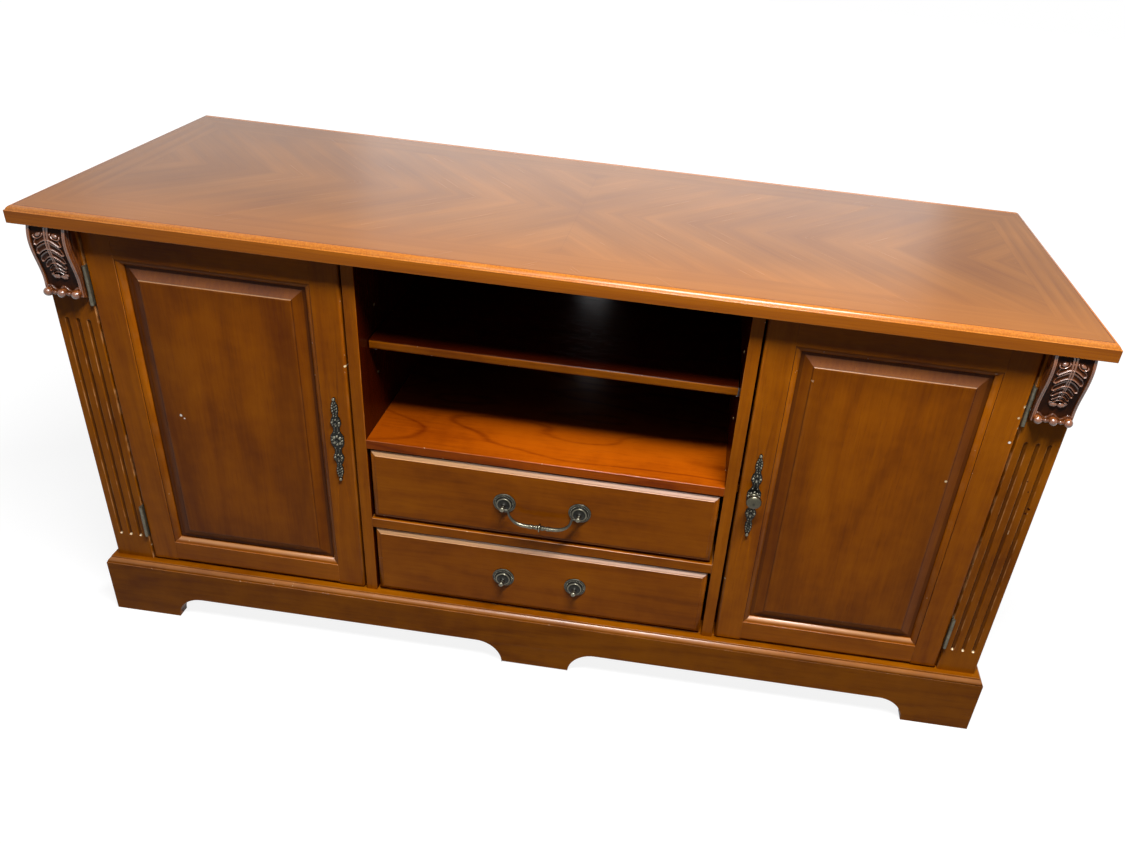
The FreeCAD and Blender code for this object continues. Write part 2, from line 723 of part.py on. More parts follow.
def case_leaf(foot):
    """Leaf on the pilaster, with the end knuckles and the pin through them."""
    leaf = hinge_leaf(foot, PILASTER_INNER - LEAF_THICK, PILASTER_INNER, range(0, KNUCKLES, 2))
    head = foot + HINGE_LENGTH
    pin = rod(HINGE_PIN_RADIUS, (HINGE_X, HINGE_Y, foot + 1), (HINGE_X, HINGE_Y, head - 1))
    return leaf.fuse(pin)


def door_leaf(foot):
    """Leaf on the door, with the middle knuckle bored for the pin."""
    leaf = hinge_leaf(foot, DOOR_OUTER, DOOR_OUTER + LEAF_THICK, range(1, KNUCKLES, 2))
    bore_radius = HINGE_PIN_RADIUS + PIN_CLEARANCE
    bore = rod(bore_radius, (HINGE_X, HINGE_Y, foot), (HINGE_X, HINGE_Y, foot + HINGE_LENGTH))
    return leaf.cut(bore)


def hinge_feet():
    return [centre - HINGE_LENGTH / 2 for centre in HINGE_HEIGHTS]


def plate_outline():
    """Long cast plate: bead tips, leaf tapers, scroll lobes and a round middle."""
    tip = PLATE_HEIGHT / 2
    bead = tip - PLATE_TIP_RADIUS
    half = [
        ((PLATE_TIP_RADIUS, bead), (PLATE_TIP_NECK, PLATE_TIP_NECK_UP)),
        ((PLATE_LEAF_HALF, PLATE_LEAF_UP), (PLATE_NECK_HALF, PLATE_NECK_UP)),
        ((PLATE_LOBE_HALF, PLATE_LOBE_UP), (PLATE_WAIST_HALF, PLATE_WAIST_UP)),
        ((PLATE_CENTRE_HALF, 0), (PLATE_WAIST_HALF, -PLATE_WAIST_UP)),
        ((PLATE_LOBE_HALF, -PLATE_LOBE_UP), (PLATE_NECK_HALF, -PLATE_NECK_UP)),
        ((PLATE_LEAF_HALF, -PLATE_LEAF_UP), (PLATE_TIP_NECK, -PLATE_TIP_NECK_UP)),
        ((PLATE_TIP_RADIUS, -bead), (0, -tip)),
    ]
    other = [((-a, -b), (-c, -d)) for (a, b), (c, d) in half]
    moved = [(PLATE_X, PLATE_Z + tip)]
    for (a, b), (c, d) in half + other:
        moved.append(((PLATE_X + a, PLATE_Z + b), (PLATE_X + c, PLATE_Z + d)))
    return moved


def door_plate():
    """The plate with a raised boss round the knob's hole."""
    face = FRONT - PLATE_THICK
    plate = prism("Y", face, FRONT, plate_outline())
    boss_foot = (PLATE_X, face + PLATE_THICK / 2, PLATE_Z)
    boss = rod(BOSS_RADIUS, boss_foot, (PLATE_X, face - BOSS_RISE, PLATE_Z))
    return plate.fuse(boss).cut(knob_hole())


def door_knob():
    """Mushroom knob: a waisted neck under a domed head, with its shank in the stile."""
    seat = FRONT - PLATE_THICK - BOSS_RISE
    under = FRONT - KNOB_UNDER_PROUD
    rim = FRONT - KNOB_RIM_PROUD
    tip = FRONT - KNOB_PROUD
    return turned(
        PLATE_X,
        PLATE_Z,
        [
            (0, DOOR_BACK - SHANK_SHORT),
            (SHANK_RADIUS, DOOR_BACK - SHANK_SHORT),
            (SHANK_RADIUS, seat),
            (KNOB_NECK_RADIUS, seat),
            (KNOB_NECK_RADIUS, under),
            (KNOB_RADIUS, under),
            (KNOB_RADIUS, rim),
            (KNOB_CROWN_RADIUS, tip),
            (0, tip),
        ],
    )


def door_strike():
    """Steel plate on the back of the door that the magnetic catch holds."""
    x = (DOOR_INNER + CATCH_INSET, DOOR_INNER + CATCH_INSET + CATCH_WIDTH)
    z = (DOOR_HEAD - STRIKE_HEIGHT, DOOR_HEAD)
    return box(x, (DOOR_BACK, DOOR_BACK + STRIKE_THICK), z)


def door_catch():
    """Magnetic catch under the top board, just behind the strike."""
    x = (DOOR_INNER + CATCH_INSET, DOOR_INNER + CATCH_INSET + CATCH_WIDTH)
    front = DOOR_BACK + STRIKE_THICK + CATCH_GAP
    return box(x, (front, front + CATCH_DEPTH), (TOP_UNDER - CATCH_HEIGHT, TOP_UNDER))


# ---------------------------------------------------------------- drawers
def drawer_edge_section(low, high):
    """Drawer front across one direction: an ovolo and a small step at each edge."""
    sunk = FRONT + DRAWER_EDGE_DEPTH
    step = FRONT + DRAWER_EDGE_STEP
    over, back = swell(DRAWER_EDGE_WIDTH, DRAWER_EDGE_DEPTH - DRAWER_EDGE_STEP)
    left = low + DRAWER_EDGE_WIDTH
    right = high - DRAWER_EDGE_WIDTH
    return [
        (low, BOX_FRONT),
        (low, sunk),
        ((left - over, step + back), (left, step)),
        (left, FRONT),
        (right, FRONT),
        (right, step),
        ((right + over, step + back), (high, sunk)),
        (high, BOX_FRONT),
    ]


def drawer_bottom_groove(box_foot):
    """Space for the bottom board, let into the sides and the front."""
    low = box_foot + BOX_BOTTOM_UP
    inner = BOX_HALF - BOX_SIDE + BOX_GROOVE
    return box((-inner, inner), (BOX_FRONT - BOX_GROOVE, BOX_END + 1), (low, low + BOX_BOTTOM))


def drawer_front(foot, box_foot):
    half = BAY_HALF - DRAWER_GAP
    head = foot + DRAWER_HEIGHT
    upright = prism("Z", foot, head, drawer_edge_section(-half, half))
    level = prism("X", -half, half, swapped(drawer_edge_section(foot, head)))
    return upright.common(level).cut(drawer_bottom_groove(box_foot))


def runner_height(box_foot):
    return box_foot + BOX_HEIGHT / 2


def drawer_side(box_foot):
    """Side board with a bottom groove inside and a stopped runner groove outside."""
    x = (BOX_HALF - BOX_SIDE, BOX_HALF)
    board = box(x, (BOX_FRONT, BOX_END), (box_foot, box_foot + BOX_HEIGHT))
    low = runner_height(box_foot) - RUNNER_HEIGHT / 2 - RUNNER_BOTTOM_GAP
    high = runner_height(box_foot) + RUNNER_HEIGHT / 2 + RUNNER_TOP_GAP
    stop = FRONT + RUNNER_FRONT_INSET - RUNNER_STOP_GAP
    runner_groove = box((BOX_HALF - RUNNER_GROOVE, BOX_HALF), (stop, BOX_END), (low, high))
    return board.cut([drawer_bottom_groove(box_foot), runner_groove])


def drawer_back(box_foot):
    half = BOX_HALF - BOX_SIDE
    low = box_foot + BOX_BOTTOM_UP + BOX_BOTTOM
    return box((-half, half), (BOX_END - BOX_BACK, BOX_END), (low, box_foot + BOX_HEIGHT))


def drawer_bottom(box_foot):
    half = BOX_HALF - BOX_SIDE + BOX_GROOVE
    low = box_foot + BOX_BOTTOM_UP
    return box((-half, half), (BOX_FRONT - BOX_GROOVE, BOX_END), (low, low + BOX_BOTTOM))


def drawer_runner(box_foot):
    """Hardwood strip on the upright that the side's groove rides on."""
    x = (BOX_HALF - RUNNER_GROOVE + RUNNER_SIDE_GAP, BAY_HALF)
    y = (FRONT + RUNNER_FRONT_INSET, BACK_FACE - RUNNER_BACK_GAP)
    middle = runner_height(box_foot)
    return box(x, y, (middle - RUNNER_HEIGHT / 2, middle + RUNNER_HEIGHT / 2))


def pull_post(side, middle):
    """Turned rosette and post; its ball is bored on the inner side for the bail."""
    x = side * POST_HALF_SPAN
    tip = BAIL_AXIS_Y
    body = turned(
        x,
        middle,
        [
            (0, FRONT),
            (ROSETTE_RADIUS, FRONT),
            (ROSETTE_RADIUS, FRONT - ROSETTE_RIM),
            (ROSETTE_DOME_RADIUS, FRONT - ROSETTE_RIM),
            (ROSETTE_DOME_RADIUS, FRONT - ROSETTE_RISE),
            (POST_NECK_RADIUS, FRONT - ROSETTE_RISE),
            (POST_NECK_RADIUS, tip + POST_BALL_HALF),
            (POST_BALL_RADIUS, tip + POST_BALL_HALF),
            (POST_BALL_RADIUS, tip - POST_BALL_HALF),
            (0, tip - POST_BALL_HALF),
        ],
    )
    mouth = x - side * (POST_BALL_RADIUS + 1)
    end = x - side * (POST_BALL_RADIUS - BAIL_PIN_REACH - SOCKET_SPARE)
    socket = rod(BAIL_PIN_RADIUS + PIN_CLEARANCE, (mouth, tip, middle), (end, tip, middle))
    return body.cut(socket)


def pull_bail(middle):
    """Hanging bail: two pin ends, a bent wire and a ringed grip."""

    def at(x, drop):
        return FreeCAD.Vector(x, BAIL_AXIS_Y, middle - drop)

    shoulder = POST_HALF_SPAN - POST_BALL_RADIUS - BAIL_SHOULDER_GAP
    bends = [(POST_HALF_SPAN - inward, drop) for inward, drop in BAIL_CORNERS]
    bends.append((BAIL_STRAIGHT_HALF - BAIL_END_LAP, BAIL_DROP))
    pin_root = BAIL_WIRE_RADIUS / 2
    pin_length = pin_root + BAIL_SHOULDER_GAP + BAIL_PIN_REACH
    pieces = []
    for side in (-1, 1):
        corners = [at(side * x, drop) for x, drop in [(shoulder, 0)] + bends]
        path = Part.makePolygon(corners)
        end = Part.makeCircle(BAIL_WIRE_RADIUS, corners[0], FreeCAD.Vector(1, 0, 0))
        pieces.append(path.makePipeShell([Part.Wire([end])], True, False, 1))
        pin_start = at(side * (shoulder - pin_root), 0)
        outward = FreeCAD.Vector(side, 0, 0)
        pieces.append(Part.makeCylinder(BAIL_PIN_RADIUS, pin_length, pin_start, outward))
    half = BAIL_STRAIGHT_HALF
    rings = [
        (-half, 0),
        (-half, BAIL_COLLAR_RADIUS),
        (-half + BAIL_COLLAR_WIDTH, BAIL_COLLAR_RADIUS),
        (-half + BAIL_COLLAR_WIDTH, BAIL_GRIP_RADIUS),
        (-BAIL_RING_WIDTH / 2, BAIL_GRIP_RADIUS),
        (-BAIL_RING_WIDTH / 2, BAIL_RING_RADIUS),
        (BAIL_RING_WIDTH / 2, BAIL_RING_RADIUS),
        (BAIL_RING_WIDTH / 2, BAIL_GRIP_RADIUS),
        (half - BAIL_COLLAR_WIDTH, BAIL_GRIP_RADIUS),
        (half - BAIL_COLLAR_WIDTH, BAIL_COLLAR_RADIUS),
        (half, BAIL_COLLAR_RADIUS),
        (half, 0),
    ]
    centre = at(0, BAIL_DROP)
    wire = closed_wire(rings, lambda x, r: centre + FreeCAD.Vector(x, 0, r))
    grip = Part.Face(wire).revolve(centre, FreeCAD.Vector(1, 0, 0), 360)
    return grip.fuse(pieces)


# ---------------------------------------------------------------- the assembly
def carcass():
    nodes = {
        "top_board": top_board(),
        "bottom_board": bottom_board(),
        "base_front": base_front(),
        "base_back": base_back(),
        "base_moulding": base_moulding(),
        "base_blocks": base_blocks(),
        "fixed_shelf": fixed_shelf(),
        "drawer_rail": drawer_rail(),
        "bay_shelf": loose_shelf(-BAY_HALF, BAY_HALF, BAY_SHELF_SETBACK, BAY_SHELF_UNDER),
        "shelf_supports": shelf_supports(),
        "door_catches": both_sides([door_catch()]),
    }
    shelf = loose_shelf(DIVIDER_OUTER, SIDE_INNER, CUPBOARD_SHELF_SETBACK, CUPBOARD_SHELF_UNDER)
    nodes.update(pair("cupboard_shelf", shelf))
    nodes.update(pair("base_side", base_side()))
    nodes.update(pair("side_panel", side_panel()))
    nodes.update(pair("divider", divider()))
    nodes.update(pair("pilaster", pilaster()))
    nodes.update(pair("corbel", corbel()))
    nodes.update(back_panels())
    return nodes


def doors():
    nodes = {
        "hinge_case_leaves": both_sides([case_leaf(foot) for foot in hinge_feet()]),
        "door_right_knob": door_knob(),
    }
    pieces = door_frame()
    pieces["panel"] = door_panel()
    pieces["hinge_leaves"] = Part.makeCompound([door_leaf(foot) for foot in hinge_feet()])
    pieces["plate"] = door_plate()
    pieces["strike"] = door_strike()
    for name, shape in pieces.items():
        nodes["door_right_" + name] = shape
        nodes["door_left_" + name] = mirrored(shape)
    return nodes


def drawers():
    nodes = {}
    runners = []
    for name, opening_foot in DRAWERS.items():
        foot = opening_foot + DRAWER_GAP
        box_foot = foot + BOX_LIFT
        middle = foot + DRAWER_HEIGHT / 2
        side = drawer_side(box_foot)
        nodes[name + "_front"] = drawer_front(foot, box_foot)
        nodes[name + "_side_right"] = side
        nodes[name + "_side_left"] = mirrored(side)
        nodes[name + "_back"] = drawer_back(box_foot)
        nodes[name + "_bottom"] = drawer_bottom(box_foot)
        nodes[name + "_posts"] = Part.makeCompound([pull_post(side, middle) for side in (-1, 1)])
        runners.append(drawer_runner(box_foot))
    upper_middle = DRAWERS["drawer_upper"] + DRAWER_GAP + DRAWER_HEIGHT / 2
    nodes["drawer_upper_bail"] = pull_bail(upper_middle)
    nodes["drawer_runners"] = both_sides(runners)
    return nodes


def main():
    os.makedirs("parts", exist_ok=True)
    for group in (carcass(), doors(), drawers()):
        for name, shape in group.items():
            shape.exportStep("parts/" + name + ".step")


main()
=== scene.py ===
# %% [markdown]
# # A low television cabinet
# This lesson dresses a packed cabinet: two framed doors, two drawers, an open bay and
# carved brackets on fluted pilasters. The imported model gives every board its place, so
# each cell below only adds what the eye sees: eased edges, carving, cast metal and finish.

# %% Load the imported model
import json
import math

import bmesh
import bpy
import numpy as np
from mathutils import Matrix, Vector


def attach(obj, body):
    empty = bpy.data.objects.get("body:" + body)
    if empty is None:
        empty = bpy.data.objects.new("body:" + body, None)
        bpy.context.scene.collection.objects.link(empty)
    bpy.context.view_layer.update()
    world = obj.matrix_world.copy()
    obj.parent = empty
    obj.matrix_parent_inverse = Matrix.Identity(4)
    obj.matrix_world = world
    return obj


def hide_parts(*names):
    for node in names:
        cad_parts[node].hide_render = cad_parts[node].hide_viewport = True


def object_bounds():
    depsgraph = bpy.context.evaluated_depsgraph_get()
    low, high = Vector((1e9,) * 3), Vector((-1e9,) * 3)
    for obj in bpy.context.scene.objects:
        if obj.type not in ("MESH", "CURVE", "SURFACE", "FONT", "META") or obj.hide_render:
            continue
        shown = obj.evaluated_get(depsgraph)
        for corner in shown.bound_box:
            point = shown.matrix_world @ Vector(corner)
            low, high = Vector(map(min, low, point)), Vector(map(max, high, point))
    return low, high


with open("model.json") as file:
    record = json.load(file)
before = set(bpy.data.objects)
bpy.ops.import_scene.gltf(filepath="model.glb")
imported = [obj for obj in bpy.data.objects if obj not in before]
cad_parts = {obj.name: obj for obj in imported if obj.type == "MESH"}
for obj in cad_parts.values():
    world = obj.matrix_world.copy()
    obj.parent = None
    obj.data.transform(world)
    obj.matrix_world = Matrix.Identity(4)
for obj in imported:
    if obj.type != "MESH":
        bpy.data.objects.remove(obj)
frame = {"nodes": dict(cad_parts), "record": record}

nodes = frame["nodes"]
cad_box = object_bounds()
MM = 0.001

# %% [markdown]
# ## Sums with sockets
# A material is a sum over noises and masks. Placed by hand, its Math nodes hide the sum,
# so a small class wraps one socket and each Python operator adds the Math node for it.
# Every other node comes from one method: settings first, then the sockets.

# %% A socket that takes part in sums
class Term:
    """A node tree, and one output socket in it."""

    def __init__(self, tree, socket=None):
        self.tree = tree
        self.socket = socket

    def node(self, kind, settings=None, sockets=None, out=0):
        made = self.tree.nodes.new(kind)
        for name, value in (settings or {}).items():
            if name == "stops":
                ramp = made.color_ramp
                while len(ramp.elements) < len(value):
                    ramp.elements.new(0.5)
                for element, (place, tint) in zip(ramp.elements, value):
                    element.position = place
                    element.color = tint
            else:
                setattr(made, name, value)
        for name, value in (sockets or {}).items():
            if isinstance(value, Term):
                self.tree.links.new(value.socket, made.inputs[name])
            else:
                made.inputs[name].default_value = value
        return Term(self.tree, made.outputs[out] if made.outputs else None)

    def maths(self, operation, *values):
        return self.node("ShaderNodeMath", {"operation": operation}, dict(enumerate(values)))

    def __add__(self, other):
        return self.maths("ADD", self, other)

    def __radd__(self, other):
        return self.maths("ADD", other, self)

    def __sub__(self, other):
        return self.maths("SUBTRACT", self, other)

    def __rsub__(self, other):
        return self.maths("SUBTRACT", other, self)

    def __mul__(self, other):
        return self.maths("MULTIPLY", self, other)

    def __rmul__(self, other):
        return self.maths("MULTIPLY", other, self)

    def __pow__(self, other):
        return self.maths("POWER", self, other)

    def __abs__(self):
        return self.maths("ABSOLUTE", self)

    def least(self, other):
        return self.maths("MINIMUM", self, other)

    def most(self, other):
        return self.maths("MAXIMUM", self, other)

    def step(self, low, high):
        """0 below low, 1 above high, smooth between; falls if low is above high."""
        settings = {"interpolation_type": "SMOOTHSTEP"}
        sockets = {"Value": self, "From Min": low, "From Max": high}
        return self.node("ShaderNodeMapRange", settings, sockets)

    def tint(self, first, second, blend="MIX"):
        """A colour: first where this is 0, second where it is 1."""
        settings = {"data_type": "RGBA", "blend_type": blend, "clamp_factor": True}
        return self.node("ShaderNodeMix", settings, {0: self, 6: first, 7: second}, out=2)


print("sums ready")

# %% [markdown]
# ## Camera
# The cabinet is seen from above its right half, with the camera rolled a little so that
# the floor line climbs to the left. The lens shift moves the cabinet inside the frame
# without turning the camera, so its proportions stay as they are.

# %% Camera
CAMERA_PLACE = (0.20045, -1.31921, 1.26431)
CAMERA_TURN = 2.6728
CAMERA_DOWN = 28.540
CAMERA_ROLL = 6.0231
PICTURE_WIDTH = 1125
FOCAL_PIXELS = 884.126
SHIFT_PIXELS = (-92.110, -82.409)
SENSOR = 36.0

camera = bpy.data.objects.new("camera", bpy.data.cameras.new("camera"))
bpy.context.scene.collection.objects.link(camera)
turn = Matrix.Rotation(math.radians(CAMERA_TURN), 3, "Z")
tilt = Matrix.Rotation(math.radians(90 - CAMERA_DOWN), 3, "X")
roll = Matrix.Rotation(math.radians(CAMERA_ROLL), 3, "Z")
camera.location = CAMERA_PLACE
camera.rotation_euler = (turn @ tilt @ roll).to_euler()
camera.data.sensor_fit = "HORIZONTAL"
camera.data.sensor_width = SENSOR
camera.data.lens = SENSOR * FOCAL_PIXELS / PICTURE_WIDTH
camera.data.shift_x = SHIFT_PIXELS[0] / PICTURE_WIDTH
camera.data.shift_y = SHIFT_PIXELS[1] / PICTURE_WIDTH
bpy.context.scene.camera = camera
bpy.context.scene.view_settings.view_transform = "Standard"
print("lens", round(camera.data.lens, 2), "mm")

# %% [markdown]
# ## Studio
# Polished wood shows its shape through what it reflects. A narrow lamp overhead gives the
# crisp shadow under the top board, a softbox that only gloss sees draws the pale lines on
# the mouldings, helped by highlights painted into the wood's colour, two panels behind give
# the top its sheen, and a faint white room fills the shadows. The camera and mirrors see
# that room as white, and a floor that glows nearly white but still takes the cabinet's
# shadow.

# %% Room, floor and lamps
FILL_STRENGTH = 0.06
WHITE = (1.0, 1.0, 1.0, 1.0)


def seen_white(paint):
    """1 for a ray from the camera, a mirror or glass, and 0 for the light on the object."""
    path = paint.node("ShaderNodeLightPath")
    glossy = Term(path.tree, path.socket.node.outputs["Is Glossy Ray"])
    through = Term(path.tree, path.socket.node.outputs["Is Transmission Ray"])
    return path.most(glossy).most(through)


world = bpy.data.worlds.new("white_room")
world.use_nodes = True
world.node_tree.nodes.clear()
air = Term(world.node_tree)
strength = seen_white(air) * (1 - FILL_STRENGTH) + FILL_STRENGTH
room = air.node("ShaderNodeBackground", None, {"Color": WHITE, "Strength": strength})
air.node("ShaderNodeOutputWorld", None, {"Surface": room})
bpy.context.scene.world = world

FLOOR_HALF = 9.0
FLOOR_GREY = (0.17, 0.17, 0.17, 1.0)
SHOWN_GREY = (0.20, 0.20, 0.20, 1.0)
GLOW_NEAR, GLOW_MORE = 0.88, 0.15
GLOW_REACH = (0.9, 2.6)

floor_mesh = bpy.data.meshes.new("floor")
floor_mesh.from_pydata(
    [(-FLOOR_HALF, -FLOOR_HALF, 0), (FLOOR_HALF, -FLOOR_HALF, 0),
     (FLOOR_HALF, FLOOR_HALF, 0), (-FLOOR_HALF, FLOOR_HALF, 0)],
    [], [(0, 1, 2, 3)])
floor = bpy.data.objects.new("floor", floor_mesh)
bpy.context.scene.collection.objects.link(floor)
floor_paint = bpy.data.materials.new("pale_floor")
floor_paint.use_nodes = True
floor_paint.node_tree.nodes.clear()
ground = Term(floor_paint.node_tree)
matt = ground.node("ShaderNodeBsdfDiffuse", None, {"Color": FLOOR_GREY})
pale = ground.node("ShaderNodeBsdfDiffuse", None, {"Color": SHOWN_GREY})
spot = ground.node("ShaderNodeTexCoord", out="Object")
away = spot.node("ShaderNodeVectorMath", {"operation": "LENGTH"}, {0: spot}, out="Value")
glow_strength = away.step(*GLOW_REACH) * GLOW_MORE + GLOW_NEAR
glow = ground.node("ShaderNodeEmission", None, {"Color": WHITE, "Strength": glow_strength})
lit = ground.node("ShaderNodeAddShader", None, {0: pale, 1: glow})
shown = ground.node("ShaderNodeMixShader", None, {0: seen_white(ground), 1: matt, 2: lit})
ground.node("ShaderNodeOutputMaterial", None, {"Surface": shown})
floor_mesh.materials.append(floor_paint)


def panel_lamp(name, place, aim, width, height, watts):
    """A rectangular lamp; the camera doesn't see it, but polished wood does."""
    lamp = bpy.data.lights.new(name, "AREA")
    lamp.shape = "RECTANGLE"
    lamp.size, lamp.size_y = width, height
    lamp.energy = watts
    made = bpy.data.objects.new(name, lamp)
    bpy.context.scene.collection.objects.link(made)
    made.location = place
    made.rotation_euler = (Vector(aim) - Vector(place)).to_track_quat("-Z", "Y").to_euler()
    made.visible_camera = False
    print(name, "radiance", round(watts / (math.pi * width * height), 2))
    return made


panel_lamp("overhead_lamp", (0.42, -0.86, 2.30), (0.0, -0.15, 0.5), 1.0, 0.12, 68)
panel_lamp("rear_panel", (-0.10, 3.0, 1.70), (0.0, 0.0, 0.76), 2.95, 1.00, 16)
panel_lamp("rear_side_panel", (-2.3, 3.0, 1.70), (-0.5, 0.0, 0.76), 1.4, 1.00, 3)
softbox = panel_lamp("softbox", (0.2, -2.1, 2.6), (0.0, -0.2, 0.4), 2.2, 1.2, 58)
softbox.visible_diffuse = False

# %% [markdown]
# ## Wood finishes
# The cabinet is stained cherry under a semi-gloss lacquer. Plain-sawn grain is a contour
# map of the yearly rings, so the figure here is a sine of a long, stretched noise; fine
# fibres, pores and slow stain clouds lie over it. Two attributes come from the cell that
# eases the boards: the stain thins on the arris, and glaze with painted shade pools dark in
# the corners. On arrises and moulded edges that face up, pale highlights are painted in,
# and the insides of the bay are darkened with painted shade.

# %% Colours and grain
def srgb(red, green, blue):
    """A colour as read off a paint card, made linear."""
    def linear(share):
        return share / 12.92 if share <= 0.04045 else ((share + 0.055) / 1.055) ** 2.4

    return (linear(red / 255), linear(green / 255), linear(blue / 255), 1.0)


AXES = {"x": (0, 1, 2), "y": (1, 0, 2), "z": (2, 0, 1)}


def split(paint, vector):
    """The three parts of a vector, as terms."""
    parts = paint.node("ShaderNodeSeparateXYZ", None, {0: vector})
    return [Term(paint.tree, out) for out in parts.socket.node.outputs]


def place(paint):
    """Where a point lies on the cabinet, as three terms in metres."""
    return split(paint, paint.node("ShaderNodeTexCoord", out="Object"))


def upward(paint):
    """How far a surface faces up: 1 on level, 0 on upright faces."""
    return split(paint, paint.node("ShaderNodeTexCoord", out="Normal"))[2]


def slopes(paint):
    """1 where a surface slopes and faces up, 0 on upright and on level faces."""
    facing = upward(paint)
    return facing.step(0.15, 0.5) * facing.step(0.995, 0.90)


def attribute(paint, name):
    """A value from 0 to 1 that a mesh carries under this name."""
    return paint.node("ShaderNodeAttribute", {"attribute_name": name}, out="Fac")


def graded(paint, tone, places, tones):
    """A colour ramp over tone."""
    return paint.node("ShaderNodeValToRGB", {"stops": list(zip(places, tones))}, {0: tone})


def noise(paint, along, across, deep, size, detail=2.0, rough=0.5):
    """Noise stretched along the grain; size is its scale per metre on each axis."""
    sockets = {0: along * size[0], 1: across * size[1], 2: deep * size[2]}
    vector = paint.node("ShaderNodeCombineXYZ", None, sockets)
    sockets = {"Vector": vector, "Scale": 1.0, "Detail": detail, "Roughness": rough}
    return paint.node("ShaderNodeTexNoise", None, sockets)


SATIN, GLASSY = (0.25, 1.5), (0.16, 1.8)


def lacquered(name, paint, colour, roughness, bump, depth, gloss, coat=0.0, kind=SATIN):
    """The shared end of a wood finish; coat is clear lacquer over the stain."""
    sockets = {"Strength": 0.35, "Distance": depth, "Height": bump}
    normal = paint.node("ShaderNodeBump", None, sockets)
    sockets = {"Base Color": colour, "Roughness": roughness, "Normal": normal,
               "Specular IOR Level": gloss, "Coat Weight": coat,
               "Coat Roughness": kind[0], "Coat IOR": kind[1]}
    surface = paint.node("ShaderNodeBsdfPrincipled", None, sockets)
    paint.node("ShaderNodeOutputMaterial", None, {"Surface": surface})
    print("finish", name)


def new_finish(name):
    """An empty material, and a term to build its nodes with."""
    finish = bpy.data.materials.new(name)
    finish.use_nodes = True
    finish.node_tree.nodes.clear()
    return finish, Term(finish.node_tree)


STAIN_STOPS = (0.15, 0.5, 0.85)


def stained(paint, along, across, deep, tones, figure, lines, fine=3.0, loops=1.1):
    """Colour, fibre and pores of stained cherry; tones are deep, body and light."""
    rings = noise(paint, along, across, deep, (loops, 7.0, 7.0), 1.5, 0.4)
    wave = rings * lines
    contour = wave.maths("SINE", wave) * 0.5 + 0.5
    late = contour ** fine
    fibre = noise(paint, along, across, deep, (12.0, 200.0, 200.0), 3.0, 0.6)
    streak = noise(paint, along, across, deep, (1.6, 34.0, 34.0), 2.0, 0.5)
    cloud = noise(paint, along, across, deep, (4.5, 8.0, 8.0), 2.0, 0.55)
    mottle = noise(paint, along, across, deep, (34.0, 30.0, 30.0), 2.0, 0.6)
    tone = (fibre - 0.5) * 0.32 + (streak - 0.5) * 0.14 + (cloud - 0.5) * 0.62 + 0.5
    tone = tone + (mottle - 0.5) * 0.26
    tone = tone - late * figure
    colour = graded(paint, tone, STAIN_STOPS, tones)
    pore = noise(paint, along, across, deep, (28.0, 900.0, 900.0), 1.0, 0.5).step(0.62, 0.74)
    colour = (pore * 0.35).tint(colour, tones[0])
    return colour, fibre, pore


BAY_SHADE = (0.14, 0.055, 0.16, 1.0)
GLAZE_SHADE_TINT, EDGE_BURST = srgb(30, 9, 1), srgb(60, 20, 2)
BARE, GLEAM_TINT, CHIPPED = srgb(196, 138, 84), srgb(230, 172, 116), srgb(236, 204, 160)
HIGHLIGHT_GOLD, HIGHLIGHT_PINK = srgb(244, 188, 136), srgb(255, 212, 190)


